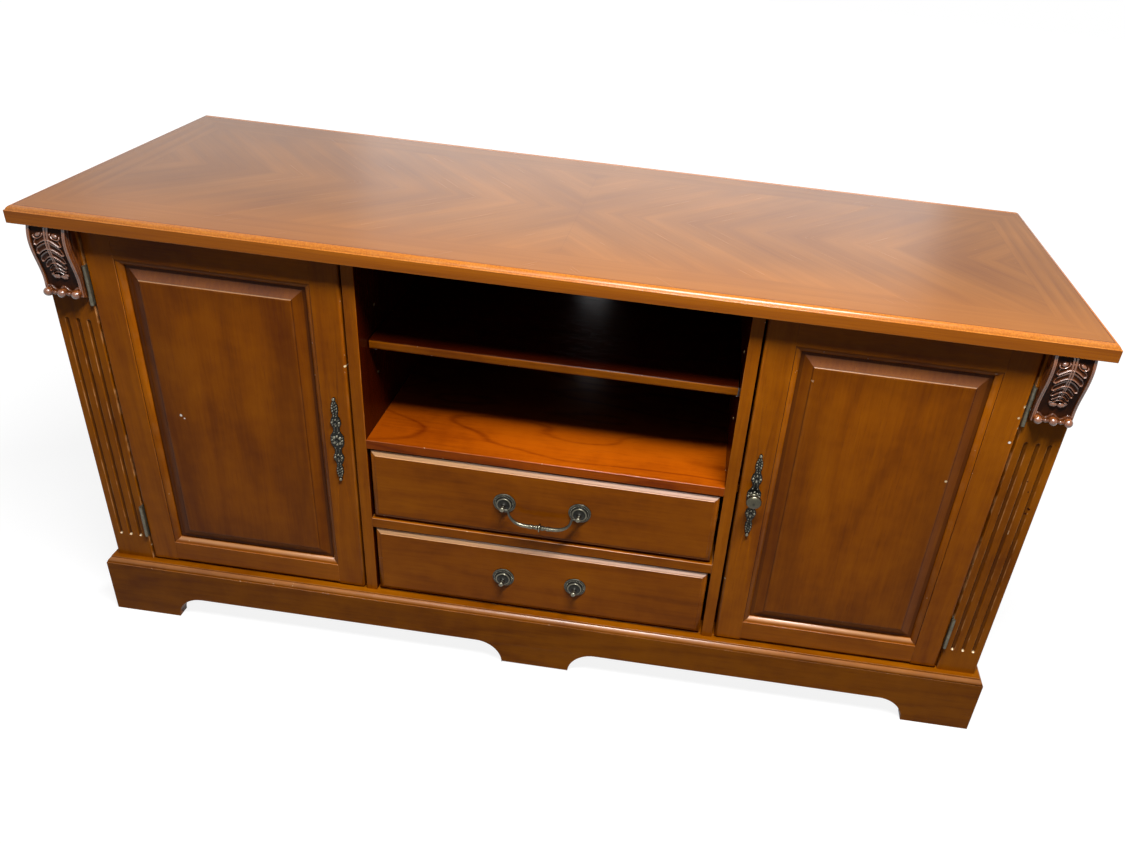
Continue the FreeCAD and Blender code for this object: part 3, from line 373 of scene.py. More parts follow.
def cherry(name, run, tones, figure=0.10, lines=60.0, gloss=0.05, wear=0.25, rough=0.24,
           front=None, fine=3.0, loops=1.1, hood=None, spots=(), pool=0.8,
           burst=None, painted_gleam=0.0, coat=1.0, painted_highlight=0.0):
    """Stained cherry, worn pale along the arrises; behind front, painted shade darkens it.

    hood is where painted shade darkens the back of a shelf, which is also darker towards its
    left end; spots are small marks seen from the front (x, z, radius and colour); pool is how
    dark glaze and painted shade lie in corners; burst shades a panel towards its edges (its
    middle and half sizes); painted_gleam is how pale the painted highlight on upward arrises
    is; and painted_highlight is how pale a whole moulded edge that faces up is painted.
    """
    finish, paint = new_finish(name)
    axes = place(paint)
    along, across, deep = (axes[i] for i in AXES[run])
    colour, fibre, pore = stained(paint, along, across, deep, tones, figure, lines, fine, loops)
    # Behind the front edge, inside the bay, the wood is darkened: painted shade.
    if front is not None:
        colour = axes[1].step(front, front + 0.001).tint(colour, BAY_SHADE, "MULTIPLY")
    # The back of a shelf turns dark with painted shade; the shelf is also darker towards its left
    # end.
    if hood is not None:
        shade = axes[1].step(*hood) * 0.75
        shade = shade.most(axes[0].step(0.02, -0.30) * 0.42)
        colour = shade.tint(colour, BAY_SHADE, "MULTIPLY")
    # Glaze, with painted shade, darkens the corners and hollows.
    colour = (attribute(paint, "glaze") * pool).tint(colour, GLAZE_SHADE_TINT)
    if burst is not None:
        middle_x, middle_z, half_x, half_z = burst
        to_side = half_x - abs(abs(axes[0]) - middle_x)
        to_end = half_z - abs(axes[2] - middle_z)
        colour = (to_side.least(to_end).step(0.075, 0.0) * 0.26).tint(colour, EDGE_BURST)
    arris = attribute(paint, "arris")
    rubbed = noise(paint, along, across, deep, (30.0, 45.0, 45.0), 3.0, 0.6).step(0.42, 0.66)
    colour = (arris * rubbed * wear).tint(colour, BARE)
    # Painted highlight: arrises that face up are tinted pale, where they would catch the light.
    facing = upward(paint).step(0.25, 0.6)
    colour = (arris.step(0.05, 0.4) * facing * painted_gleam).tint(colour, GLEAM_TINT)
    # Painted highlight: moulded edges that face up go pale, gold to the left and pink to the right.
    if painted_highlight > 0.0:
        flat = paint.node("ShaderNodeNewGeometry", out="True Normal")
        sideways, _, up = split(paint, flat)
        pale = (up - abs(sideways)).step(0.02, 0.10) * up.step(0.96, 0.82) * painted_highlight
        colour = pale.tint(colour, HIGHLIGHT_GOLD)
        colour = (pale * axes[0].step(-0.20, 0.22)).tint(colour, HIGHLIGHT_PINK)
    chip = noise(paint, along, across, deep, (95.0, 120.0, 120.0), 2.0, 0.5).step(0.725, 0.75)
    colour = (arris * chip).tint(colour, CHIPPED)
    front_view = paint.node("ShaderNodeCombineXYZ", None, {0: axes[0], 2: axes[2]})
    for x, z, radius, tone in spots:
        sockets = {0: front_view, 1: (x * MM, 0.0, z * MM)}
        away = paint.node("ShaderNodeVectorMath", {"operation": "DISTANCE"}, sockets, out="Value")
        away = away + (rubbed - 0.5) * 0.0008
        colour = away.step(radius * MM, radius * MM * 0.6).tint(colour, tone)
    lacquered(name, paint, colour, (fibre - 0.5) * 0.12 + rough, fibre * 0.6 - pore, 0.00025,
              gloss, slopes(paint) * coat)
    return finish


DOOR_TONES = (srgb(104, 46, 2), srgb(146, 76, 2), srgb(174, 98, 8))
RAIL_TONES = (srgb(112, 50, 2), srgb(154, 82, 3), srgb(184, 104, 10))
PLINTH_TONES = (srgb(100, 45, 1), srgb(140, 76, 2), srgb(166, 96, 8))
PILASTER_TONES = (srgb(106, 50, 3), srgb(150, 82, 5), srgb(176, 102, 12))
SHELF_TONES = (srgb(118, 42, 2), srgb(166, 75, 3), srgb(182, 87, 5))
CREAM, SCAR, NICK = srgb(232, 206, 160), srgb(250, 244, 230), srgb(52, 16, 4)
PANEL_SPOTS = ((-577, 430, 2.2, SCAR), (-572, 425, 1.3, SCAR), (600, 497, 2.6, CREAM))
FLUTE_SPOTS = [(side * (710 + off), 165.0, 1.9, CREAM)
               for side in (-1, 1) for off in (-17, 0, 17)]
FLUTE_SPOTS += [(714, 516, 1.8, NICK), (720, 498, 1.6, NICK), (730, 467, 1.9, NICK),
                (728, 457, 1.6, NICK), (684, 657, 3.6, CREAM), (681, 638, 3.0, SCAR)]
STILE_SPOTS = ((670, 579, 2.0, SCAR), (675, 640, 3.4, CREAM), (671, 621, 2.2, CREAM),
               (676, 604, 2.4, CREAM), (304, 250, 1.6, CREAM), (-304, 560, 1.8, CREAM))
PANEL_FIELD = (0.4895, 0.425, 0.1135, 0.2345)
DIVIDER_FRONT, BAY_FRONT = -0.2300, -0.1965
finishes = {
    "upright": cherry("cherry_upright", "z", RAIL_TONES, spots=STILE_SPOTS),
    "lengthwise": cherry("cherry_lengthwise", "x", RAIL_TONES, painted_gleam=0.4),
    "panel": cherry("cherry_panel", "z", DOOR_TONES, figure=0.12, lines=44.0, wear=0.12,
                    spots=PANEL_SPOTS, burst=PANEL_FIELD, painted_gleam=0.6),
    "drawer": cherry("cherry_drawer", "x", DOOR_TONES, painted_gleam=0.75, coat=0.4, painted_highlight=0.85),
    "plinth": cherry("cherry_plinth", "x", PLINTH_TONES, gloss=0.03, pool=0.6, painted_gleam=0.12,
                     coat=0.55),
    "pilaster": cherry("cherry_pilaster", "z", PILASTER_TONES, rough=0.34, wear=1.2,
                       spots=FLUTE_SPOTS),
    "shelf": cherry("cherry_shelf", "x", SHELF_TONES, figure=0.20, lines=52.0, fine=22.0,
                    loops=2.0, hood=(-0.165, -0.03)),
    "side": cherry("cherry_side", "z", PLINTH_TONES, figure=0.12),
    "divider": cherry("cherry_divider", "z", RAIL_TONES, front=DIVIDER_FRONT),
    "bay": cherry("cherry_bay", "x", RAIL_TONES, wear=0.1, front=BAY_FRONT, coat=0.12),
}

# %% [markdown]
# ## The top's matched veneer
# The top is laid with four sheets cut from one flitch and turned so that their grain runs
# in to the middle of the board from its four corners, inside a border whose grain runs
# with each edge. Folding the coordinates at both centre lines mirrors the sheets.

# %% Top veneer
TOP_HALF = (cad_box[1][0], cad_box[1][1])
BORDER, GROOVE_INSET = 0.070, 0.0093
MOULDING_FOOT = 0.7555
TOP_TONES = (srgb(106, 59, 20), srgb(129, 78, 27), srgb(152, 95, 36))
FRONT_LIGHT_TINT, SHADED_LINE, TOP_BARE = srgb(168, 98, 22), srgb(84, 34, 8), srgb(222, 160, 90)
DARK_GLEAM, LIGHT_GLEAM = srgb(172, 92, 16), srgb(204, 124, 34)


def matched_top(name):
    """Mirrored sheets in a border, a moulding painted gold round them as a highlight, a plain edge
    below.
    """
    finish, paint = new_finish(name)
    x, y, z = place(paint)
    ax, ay = abs(x), abs(y)
    inward_x, inward_y = TOP_HALF[0] - ax, TOP_HALF[1] - ay
    edge = inward_x.least(inward_y)
    border = edge.step(BORDER + 0.0006, BORDER)
    side = inward_x.maths("LESS_THAN", inward_x, inward_y)
    half = math.sqrt(0.5)
    along = (ax + ay) * half
    across = (ax - ay) * half
    bands = noise(paint, along, across, z, (2.2, 16.0, 1.0), 1.5, 0.45)
    band_lines = noise(paint, along, across, z, (3.0, 60.0, 1.0), 2.0, 0.5)
    fibre = noise(paint, along, across, z, (9.0, 330.0, 330.0), 2.0, 0.6)
    sheet = (bands - 0.5) * 0.9 + (band_lines - 0.5) * 0.4 + (fibre - 0.5) * 0.35
    run = ax * (1 - side) + ay * side
    cross = ay * (1 - side) + ax * side
    strip = (noise(paint, run, cross, z, (2.4, 70.0, 60.0), 2.0, 0.5) - 0.5) * 0.7
    strip = strip + (noise(paint, run, cross, z, (8.0, 330.0, 330.0), 2.0, 0.6) - 0.5) * 0.4
    cloud = noise(paint, x, y, z, (5.0, 6.0, 6.0), 2.0, 0.5)
    tone = strip * border + sheet * (1 - border) + (cloud - 0.5) * 0.5 + 0.5
    colour = graded(paint, tone, (0.12, 0.5, 0.9), TOP_TONES)
    seam = abs(edge - BORDER).step(0.0009, 0.0002)
    joint = ax.least(ay).step(0.0007, 0.0001) * (1 - border)
    colour = (seam.most(joint) * 0.35).tint(colour, TOP_TONES[0])
    # Painted light: the top is warmer and lighter towards its front, where more light falls.
    colour = (y.step(-0.08, -0.25) * 0.35).tint(colour, FRONT_LIGHT_TINT)
    under = z.step(MOULDING_FOOT, MOULDING_FOOT - 0.0005)
    colour = under.tint(colour, graded(paint, strip + 0.5, STAIN_STOPS, RAIL_TONES))
    # Painted highlight: the moulding round the top is painted bright gold for the light it catches.
    moulding = edge.step(0.0090, 0.0084) * (1 - under)
    fleck = noise(paint, x, y, z, (420.0, 420.0, 420.0), 2.0, 0.6)
    gleam = fleck.step(0.3, 0.75).tint(DARK_GLEAM, LIGHT_GLEAM)
    colour = (moulding * 0.75).tint(colour, gleam)
    groove = abs(edge - GROOVE_INSET).step(0.0011, 0.0004) * (1 - under)
    colour = (groove * 0.8).tint(colour, SHADED_LINE)
    rubbed = noise(paint, x, y, z, (26.0, 60.0, 60.0), 3.0, 0.6).step(0.40, 0.62)
    colour = (attribute(paint, "arris") * rubbed * 0.2).tint(colour, TOP_BARE)
    lacquered(name, paint, colour, (fibre - 0.5) * 0.10 + 0.25, fibre, 0.00015, 0.135,
              slopes(paint) * 0.5)
    return finish


finishes["top"] = matched_top("matched_veneer")

# %% [markdown]
# ## Plain and dark woods
# The backs are dark hardboard, painted near black as well to stand in for the shade deep in
# the bay; the drawer boxes are pale solid wood, and the blocks, rails and runners that
# nobody sees are left plain. The carved brackets have a darker walnut stain, rubbed brown
# on the high places, which are also the glossy ones.

# %% Backs, drawer boxes and carved wood
def plain_wood(name, run, tones):
    """Unstained wood with an open, dull surface."""
    finish, paint = new_finish(name)
    axes = place(paint)
    along, across, deep = (axes[i] for i in AXES[run])
    colour, fibre, pore = stained(paint, along, across, deep, tones, 0.1, 50.0)
    lacquered(name, paint, colour, (fibre - 0.5) * 0.2 + 0.55, fibre - pore, 0.0003, 0.2)
    return finish


def hardboard(name, tones):
    """Pressed board: short fibres lying every way, nearly matt."""
    finish, paint = new_finish(name)
    x, y, z = place(paint)
    fleck = noise(paint, x, y, z, (380.0, 380.0, 380.0), 4.0, 0.7)
    cloud = noise(paint, x, y, z, (9.0, 9.0, 9.0), 2.0, 0.5)
    tone = (fleck - 0.5) * 0.9 + (cloud - 0.5) * 0.5 + 0.5
    colour = graded(paint, tone, (0.2, 0.5, 0.8), tones)
    lacquered(name, paint, colour, fleck * 0.2 + 0.6, fleck, 0.0002, 0.04)
    return finish


def carved(name):
    """Walnut stain: dark in the hollows, rubbed brown on the high places, which are glossy."""
    finish, paint = new_finish(name)
    x, y, z = place(paint)
    height = attribute(paint, "height")
    fibre = noise(paint, z, x, y, (20.0, 420.0, 420.0), 3.0, 0.6)
    cloud = noise(paint, x, y, z, (60.0, 60.0, 60.0), 2.0, 0.5)
    tone = height * 0.62 + (fibre - 0.5) * 0.35 + (cloud - 0.5) * 0.5 + 0.12
    colour = graded(paint, tone, (0.05, 0.45, 0.95), WALNUT_TONES)
    rough = (cloud - 0.5) * 0.2 + 0.26
    glossy = height.step(0.35, 0.85)
    lacquered(name, paint, colour, rough, fibre, 0.0002, 0.04, glossy, GLASSY)
    return finish


BOX_TONES = (srgb(160, 118, 74), srgb(196, 156, 108), srgb(214, 180, 134))
HIDDEN_TONES = (srgb(120, 84, 50), srgb(158, 118, 76), srgb(182, 144, 100))
# Nearly black: dark hardboard, and painted shade for the depth of the bay.
BACK_SHADE_TONES = (srgb(14, 6, 4), srgb(24, 11, 7), srgb(38, 20, 12))
WALNUT_TONES = (srgb(44, 20, 8), srgb(84, 42, 16), srgb(158, 88, 34))
finishes["box"] = plain_wood("drawer_box_wood", "y", BOX_TONES)
finishes["hidden"] = plain_wood("hidden_wood", "x", HIDDEN_TONES)
finishes["back"] = hardboard("dark_hardboard", BACK_SHADE_TONES)
finishes["carved"] = carved("carved_walnut_stain")

# %% [markdown]
# ## Metals
# Pulls and plates are cast and antiqued: nearly black in the hollows, rubbed bright on the
# high places. The hinges are plated and dull. Metallic and Roughness both follow the rub.

# %% Pewter, hinge metal and plated steel
def metal(name, dark, bright, rub, rough):
    """Antiqued metal; rub shifts the balance from patina to bright."""
    finish, paint = new_finish(name)
    x, y, z = place(paint)
    height = attribute(paint, "height")
    speck = noise(paint, x, y, z, (900.0, 900.0, 900.0), 3.0, 0.65)
    patch = noise(paint, x, y, z, (120.0, 120.0, 120.0), 2.0, 0.5)
    shine = (height * 0.75 + (speck - 0.5) * 0.7 + (patch - 0.5) * 0.5 + rub).step(0.25, 0.95)
    colour = shine.tint(dark, bright)
    sockets = {"Strength": 0.4, "Distance": 0.0001, "Height": speck}
    normal = paint.node("ShaderNodeBump", None, sockets)
    sockets = {"Base Color": colour, "Metallic": shine * 0.3 + 0.7, "Normal": normal,
               "Roughness": shine * -0.18 + rough}
    surface = paint.node("ShaderNodeBsdfPrincipled", None, sockets)
    paint.node("ShaderNodeOutputMaterial", None, {"Surface": surface})
    print("metal", name)
    return finish


finishes["pewter"] = metal("aged_pewter", srgb(24, 23, 18), srgb(124, 120, 104), 0.0, 0.42)
finishes["knob"] = metal("dull_pewter", srgb(40, 38, 30), srgb(88, 84, 70), 0.2, 0.46)
finishes["bail"] = metal("rubbed_pewter", srgb(52, 50, 42), srgb(124, 121, 106), 0.15, 0.34)
finishes["hinge"] = metal("hinge_metal", srgb(86, 82, 68), srgb(172, 167, 146), 0.35, 0.50)
finishes["steel"] = metal("plated_steel", srgb(120, 120, 118), srgb(196, 196, 194), 0.50, 0.34)


def moulded_plastic(name, tone, light):
    """Brown moulded plastic with a fine spark texture."""
    finish, paint = new_finish(name)
    x, y, z = place(paint)
    grain = noise(paint, x, y, z, (1500.0, 1500.0, 1500.0), 2.0, 0.5)
    colour = (grain * 0.3).tint(tone, light)
    lacquered(name, paint, colour, grain * 0.2 + 0.4, grain, 0.0001, 0.4)
    return finish


finishes["plastic"] = moulded_plastic("catch_plastic", srgb(96, 70, 46), srgb(150, 128, 100))

# %% [markdown]
# ## Eased boards
# No real board has a knife edge: each arris is sanded round, and that is where light
# catches and stain wears through. A Bevel modifier would do, but here the bevel is cut on a
# merged copy in bmesh, because that also tells which faces are the arris.

# %% Copy, ease and finish the boards
EASE = 0.0007
GLAZE_SHADE_EASE = EASE * 1.8
MERGE = 1e-5
LEVEL = math.radians(0.6)
SHARP = math.radians(50)
SMOOTH = math.radians(32)
CREASE = math.radians(4)
BROAD = 0.0012
SLOPING, MOULDED_AREA, MOULDED_WEAR_AND_GLEAM = 0.96, 0.003, 0.4
FLAT_AREA, SQUARE = 0.0001, 0.999
body_of = {node: body for body, members in frame["record"]["behaviour"]["bodies"].items()
           for node in members}


def add_piece(name, mesh, finish, body, replaced=()):
    """Put a finished mesh in the scene, on its body."""
    made = bpy.data.objects.new(name, mesh)
    bpy.context.scene.collection.objects.link(made)
    mesh.materials.clear()
    mesh.materials.append(finishes[finish])
    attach(made, body)
    if replaced:
        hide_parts(*replaced)
    return made


def baked(made):
    """The mesh that an object's modifiers give, as a plain mesh."""
    graph = bpy.context.evaluated_depsgraph_get()
    return bpy.data.meshes.new_from_object(made.evaluated_get(graph), depsgraph=graph)


def shaded(mesh, sharp_angle, creases=()):
    """Smooth over curves and arrises, flat on level and upright faces; creases stay sharp."""
    mesh.shade_smooth()
    mesh.set_sharp_from_angle(angle=sharp_angle)
    for index in creases:
        mesh.edges[index].use_edge_sharp = True
    for face in mesh.polygons:
        if face.area > FLAT_AREA and max(map(abs, face.normal)) > SQUARE:
            face.use_smooth = False
    return mesh


def drop_twins(work):
    """Take out the faces that meet inside a mitre, two on the same corners."""
    seen = {}
    for face in work.faces:
        seen.setdefault(frozenset(face.verts), []).append(face)
    twins = [face for pair in seen.values() if len(pair) == 2 for face in pair]
    bmesh.ops.delete(work, geom=twins, context="FACES")


def eased(node, finish):
    """A softened copy that stands for a CAD board."""
    work = bmesh.new()
    work.from_mesh(nodes[node].data)
    arris = work.faces.layers.float.new("arris")
    bmesh.ops.remove_doubles(work, verts=work.verts, dist=MERGE)
    drop_twins(work)
    bmesh.ops.dissolve_limit(work, angle_limit=LEVEL, verts=work.verts, edges=work.edges)
    drop_twins(work)
    # Convex edges are eased into the arris; concave ones are cut too and marked for glaze and
    # painted shade.
    glaze = work.faces.layers.float.new("glaze")
    for sign, mark, offset in ((1, arris, EASE), (-1, glaze, GLAZE_SHADE_EASE)):
        edges = [e for e in work.edges if len(e.link_faces) == 2
                 and e.calc_face_angle_signed() * sign > SHARP]
        cut = bmesh.ops.bevel(work, geom=edges, offset=offset, segments=2, profile=0.5,
                              affect="EDGES", clamp_overlap=True)
        for face in cut["faces"]:
            face[mark] = 1.0
    # Small sloping faces of mouldings count as arris too, for wear and for the painted highlight.
    for face in work.faces:
        moulded = max(map(abs, face.normal)) < SLOPING and face.calc_area() < MOULDED_AREA
        if moulded and not face[arris] + face[glaze]:
            face[arris] = MOULDED_WEAR_AND_GLEAM
    bmesh.ops.triangulate(work, faces=[f for f in work.faces if len(f.verts) > 4])
    mesh = bpy.data.meshes.new(node + "_eased")
    work.edges.index_update()
    work.to_mesh(mesh)
    gaps = sum(1 for e in work.edges if len(e.link_faces) != 2)
    creases = [e.index for e in work.edges if len(e.link_faces) == 2
               and min(f.calc_area() for f in e.link_faces) > BROAD
               and e.calc_face_angle() > CREASE]
    work.free()
    made = add_piece(node + "_eased", shaded(mesh, SMOOTH, creases), finish, body_of[node],
                     [node])
    if gaps:
        print("open edges", node, gaps)
    return made


BOARDS = {
    "top": ("top_veneer", ["top_board"]),
    "lengthwise": ("cherry_wood", ["drawer_rail", "door_left_top_rail", "door_left_bottom_rail",
                                   "door_right_top_rail", "door_right_bottom_rail"]),
    "upright": ("cherry_wood", ["door_left_hinge_stile", "door_left_lock_stile",
                                "door_right_hinge_stile", "door_right_lock_stile"]),
    "divider": ("cherry_wood", ["divider_left", "divider_right"]),
    "drawer": ("cherry_wood", ["drawer_upper_front", "drawer_lower_front"]),
    "plinth": ("cherry_wood", ["base_front", "base_moulding", "base_side_left", "base_side_right"]),
    "shelf": ("case_veneer", ["fixed_shelf"]),
    "bay": ("case_veneer", ["bay_shelf", "cupboard_shelf_left", "cupboard_shelf_right",
                            "bottom_board"]),
    "side": ("case_veneer", ["side_panel_left", "side_panel_right"]),
}
for finish, (slot, members) in BOARDS.items():
    for node in members:
        eased(node, finish)
print("eased", sum(len(members) for _, members in BOARDS.values()), "boards")

# %% [markdown]
# ## Skins over rings
# Carvings, castings and turnings are all closed outlines stacked along a line, each a
# little different from the last. Sculpting would not repeat from left to right; a stack of
# rings worked out with arrays does, and one short function can close any of them. Each
# skin also carries a height, 1 on the high places, which its finish reads for wear.

# %% Skin and smoothing helpers
SKIN_SHARP = math.radians(42)


def skinned(name, rings, height, arris=None, glaze=None):
    """A closed mesh over rings[row][step], which are points in millimetres."""
    rows, steps = rings.shape[:2]
    here = np.arange(rows * steps).reshape(rows, steps)
    beside = np.roll(here, -1, axis=1)
    quads = np.stack([here[:-1], beside[:-1], beside[1:], here[1:]], axis=-1)
    faces = quads.reshape(-1, 4).tolist() + [here[0, ::-1].tolist(), here[-1].tolist()]
    mesh = bpy.data.meshes.new(name)
    mesh.from_pydata((rings.reshape(-1, 3) * MM).tolist(), [], faces)
    for label, values in (("height", height), ("arris", arris), ("glaze", glaze)):
        if values is not None:
            layer = mesh.attributes.new(label, "FLOAT", "POINT")
            layer.data.foreach_set("value", np.clip(values, 0, 1).ravel().astype(np.float32))
    work = bmesh.new()
    work.from_mesh(mesh)
    bmesh.ops.recalc_face_normals(work, faces=work.faces)
    work.to_mesh(mesh)
    work.free()
    return shaded(mesh, SKIN_SHARP)


def ramp(value, low, high):
    """0 at low, 1 at high, with a soft start and end."""
    share = np.clip((value - low) / (high - low), 0, 1)
    return share * share * (3 - 2 * share)


def dome(reach):
    """A round top: 1 at 0, down to 0 where reach is 1."""
    return np.sqrt(np.clip(1 - reach ** 2, 0, 1))


def cut_corners(points, passes=2):
    """Round a coarse outline by cutting its corners, keeping both ends."""
    points = np.array(points, dtype=float)
    for _ in range(passes):
        first, second = points[:-1], points[1:]
        cut = np.stack([first * 0.75 + second * 0.25, first * 0.25 + second * 0.75], axis=1)
        points = np.concatenate([points[:1], cut.reshape(-1, points.shape[1]), points[-1:]])
    return points


def travelled(line):
    """How far each point lies along its line."""
    return np.cumsum(np.hypot(*np.diff(line, axis=0, prepend=line[:1]).T))


print("skins ready")

# %% [markdown]
# ## Raised panels
# A door's panel was raised on a spindle: a flat tongue for the groove, a bevel, a small
# step and a field with a softened edge. Each of these is one rectangle inside the last, so
# the panel is a stack of four-cornered rings, and its mitres are the edges kept sharp.

# %% Raised panels
SIGHT_X, SIGHT_Z, DOOR_Y = (355.5, 623.5), (170.0, 680.0), -231.0
PANEL_PROFILE = ((-8.0, 14.2), (-8.0, 8.2), (5.4, 8.2), (6.6, 7.9), (18.6, 2.38), (20.5, 1.5),
                 (20.5, 1.35), (20.7, 1.12), (21.2, 0.88), (22.0, 0.68), (23.1, 0.54),
                 (24.4, 0.5), (25.4, 0.5))
# How dark glaze and painted shade lie at each inset: in the groove, at the bevel's foot and at the
# field's step.
PANEL_GLAZE_SHADE = ((-8, 5.4, 6.6, 18.5, 20.2, 20.5, 21.0), (0.9, 0.6, 0.1, 0, 0.5, 0.9, 0))
CORNERS = 4


def raised_panel(name, side):
    """Rings of four corners, each (inset from the frame's edge, depth from the door)."""
    inset, depth = np.array(PANEL_PROFILE).T
    left, right = SIGHT_X[0] + inset, SIGHT_X[1] - inset
    foot, head = SIGHT_Z[0] + inset, SIGHT_Z[1] - inset
    x = np.stack([left, right, right, left], axis=1) * side
    z = np.stack([foot, foot, head, head], axis=1)
    y = np.repeat(DOOR_Y + depth[:, None], CORNERS, axis=1)
    # The field's rounded edge counts as arris: worn pale, and given the painted highlight where it
    # faces up.
    soft = np.repeat(((inset > 20.4) & (inset < 24))[:, None], CORNERS, axis=1) * 0.35
    darkened = np.repeat(np.interp(inset, *PANEL_GLAZE_SHADE)[:, None], CORNERS, axis=1)
    mesh = skinned(name, np.stack([x, y, z], axis=-1), np.ones_like(soft), soft, darkened)
    for edge in mesh.edges:
        first, second = sorted(edge.vertices)
        if second - first == CORNERS:
            edge.use_edge_sharp = True
    return mesh


for side, hand in ((-1, "left"), (1, "right")):
    mesh = raised_panel("door_" + hand + "_panel_raised", side)
    add_piece(mesh.name, mesh, "panel", hand + "_door",
              ["door_" + hand + "_panel"])
    print(mesh.name, len(mesh.polygons), "faces")

# %% [markdown]
# ## Fluted pilasters
# Beside each door stands a face board with three hollows, stopped short at both ends where
# the round cutter was lifted out. One grid of points makes the face: its rows lie close
# together only at the stops, since the hollows are straight between them.

# %% Pilasters
PILASTER_X, PILASTER_HALF = 710.0, 31.0
PILASTER_Y = (-231.0, -211.0)
PILASTER_Z = (116.5, 737.0)
FLUTES = (-17.0, 0.0, 17.0)
FLUTE_RADIUS, FLUTE_DEPTH = 3.2, 2.5
FLUTE_REACH, FLUTE_STOPS = 4.5, (166.6, 580.4)
FINE_ROWS = ((162.0, 168.0), (579.0, 585.0))
ROUND = 0.8


def flute_sink(across, up):
    """How deep the three hollows are at each point, and 1 along their lips."""
    beyond = np.maximum(np.maximum(FLUTE_STOPS[0] - up, up - FLUTE_STOPS[1]), 0)
    sink, lip = np.zeros_like(across), np.zeros_like(across)
    for middle in FLUTES:
        away = np.hypot(across - middle, beyond)
        chord = np.sqrt(np.clip(FLUTE_RADIUS ** 2 - away ** 2, 0, None))
        sink = np.maximum(sink, chord - (FLUTE_RADIUS - FLUTE_DEPTH))
        lip = np.maximum(lip, np.exp(-((away - FLUTE_RADIUS - 0.1) / 0.45) ** 2))
    return sink, lip


def pilaster(side):
    """Rings up the board, with worn lips and flute hollows darkened by glaze and painted shade."""
    across = np.unique(np.round(np.concatenate(
        [np.linspace(m - FLUTE_REACH, m + FLUTE_REACH, 31) for m in FLUTES]
        + [np.linspace(-PILASTER_HALF, -PILASTER_HALF + ROUND, 5),
           np.linspace(PILASTER_HALF - ROUND, PILASTER_HALF, 5)]), 3))
    fine = [np.linspace(low, high, 25) for low, high in FINE_ROWS]
    up = np.concatenate([PILASTER_Z[:1], *fine, PILASTER_Z[1:]])
    a, z = np.meshgrid(across, up)
    sink, lip = flute_sink(a, z)
    corner = np.clip(np.abs(a) - (PILASTER_HALF - ROUND), 0, ROUND) / ROUND
    sink = sink + ROUND * (1 - np.sqrt(1 - corner ** 2))
    front = np.stack([a, PILASTER_Y[0] + sink, z], axis=-1)
    back = front[:, [-1, 0]].copy()
    back[..., 1] = PILASTER_Y[1]
    rings = np.concatenate([front, back], axis=1)
    unworn = np.zeros((len(up), 2))
    lip = np.concatenate([lip * 0.8 + corner, unworn], axis=1)
    shaded_hollow = np.concatenate([ramp(sink, 0.5, 1.6) * 0.7, unworn], axis=1)
    rings[..., 0] = side * (PILASTER_X + rings[..., 0])
    return rings, lip, shaded_hollow


for side, hand in ((-1, "left"), (1, "right")):
    rings, lip, shaded_hollow = pilaster(side)
    mesh = skinned("pilaster_" + hand + "_fluted", rings, np.ones_like(lip), lip, shaded_hollow)
    add_piece(mesh.name, mesh, "pilaster", "carcass", ["pilaster_" + hand])
    print(mesh.name, len(mesh.polygons), "faces")

# %% [markdown]
# ## Carved brackets
# Under each end of the top a bracket swells out like a bent knee. Two ribs frame a bed on
# which the carver left an acanthus leaf: a double stem, two eyes at its head, drooping
# lobes that lap over each other, and a double curl at its foot. Below the plain hollow a
# scalloped band sits over three turned balls. The leaf is a height over the bed, so the
# same function serves both brackets.

# %% The leaf as a height over the bed
BRACKET_X, BRACKET_HALF = 710.0, 28.0
BRACKET_TOP, BRACKET_WALL = 737.0, -231.0
BED_SINK, RIB = 2.5, 4.6
BELLY = np.polyfit((0, 24, 48, 72, 95.5), (18, 22.5, 19.5, 14, 12), 4)
SEAT_DROP, SEAT_PROUD, FOOT_DROP = 95.5, 12.0, 109.5
HEEL_DROP, HEEL_PROUD = 114.6, 0.8
FLANK_LINES = ((3.2, 0.5), (6.4, 0.5), (11.5, 0.9))
LOBE_ROOTS = (9.0, 22.0, 35.5, 48.0, 58.5, 66.5, 73.0)
EYE = (12.2, 13.0)
CURL = (5.6, 80.6)
BALLS, BALL_RADIUS = (-21.0, 0.0, 21.0), 6.5
BEADS_BETWEEN, BEAD_RADIUS = (-10.5, 10.5), 3.3
BALL_DROP, BALL_Y = 104.5, -247.0
NECK_HALF, NECK_RADIUS, NECK_TIP = 27.4, 2.4, 0.4


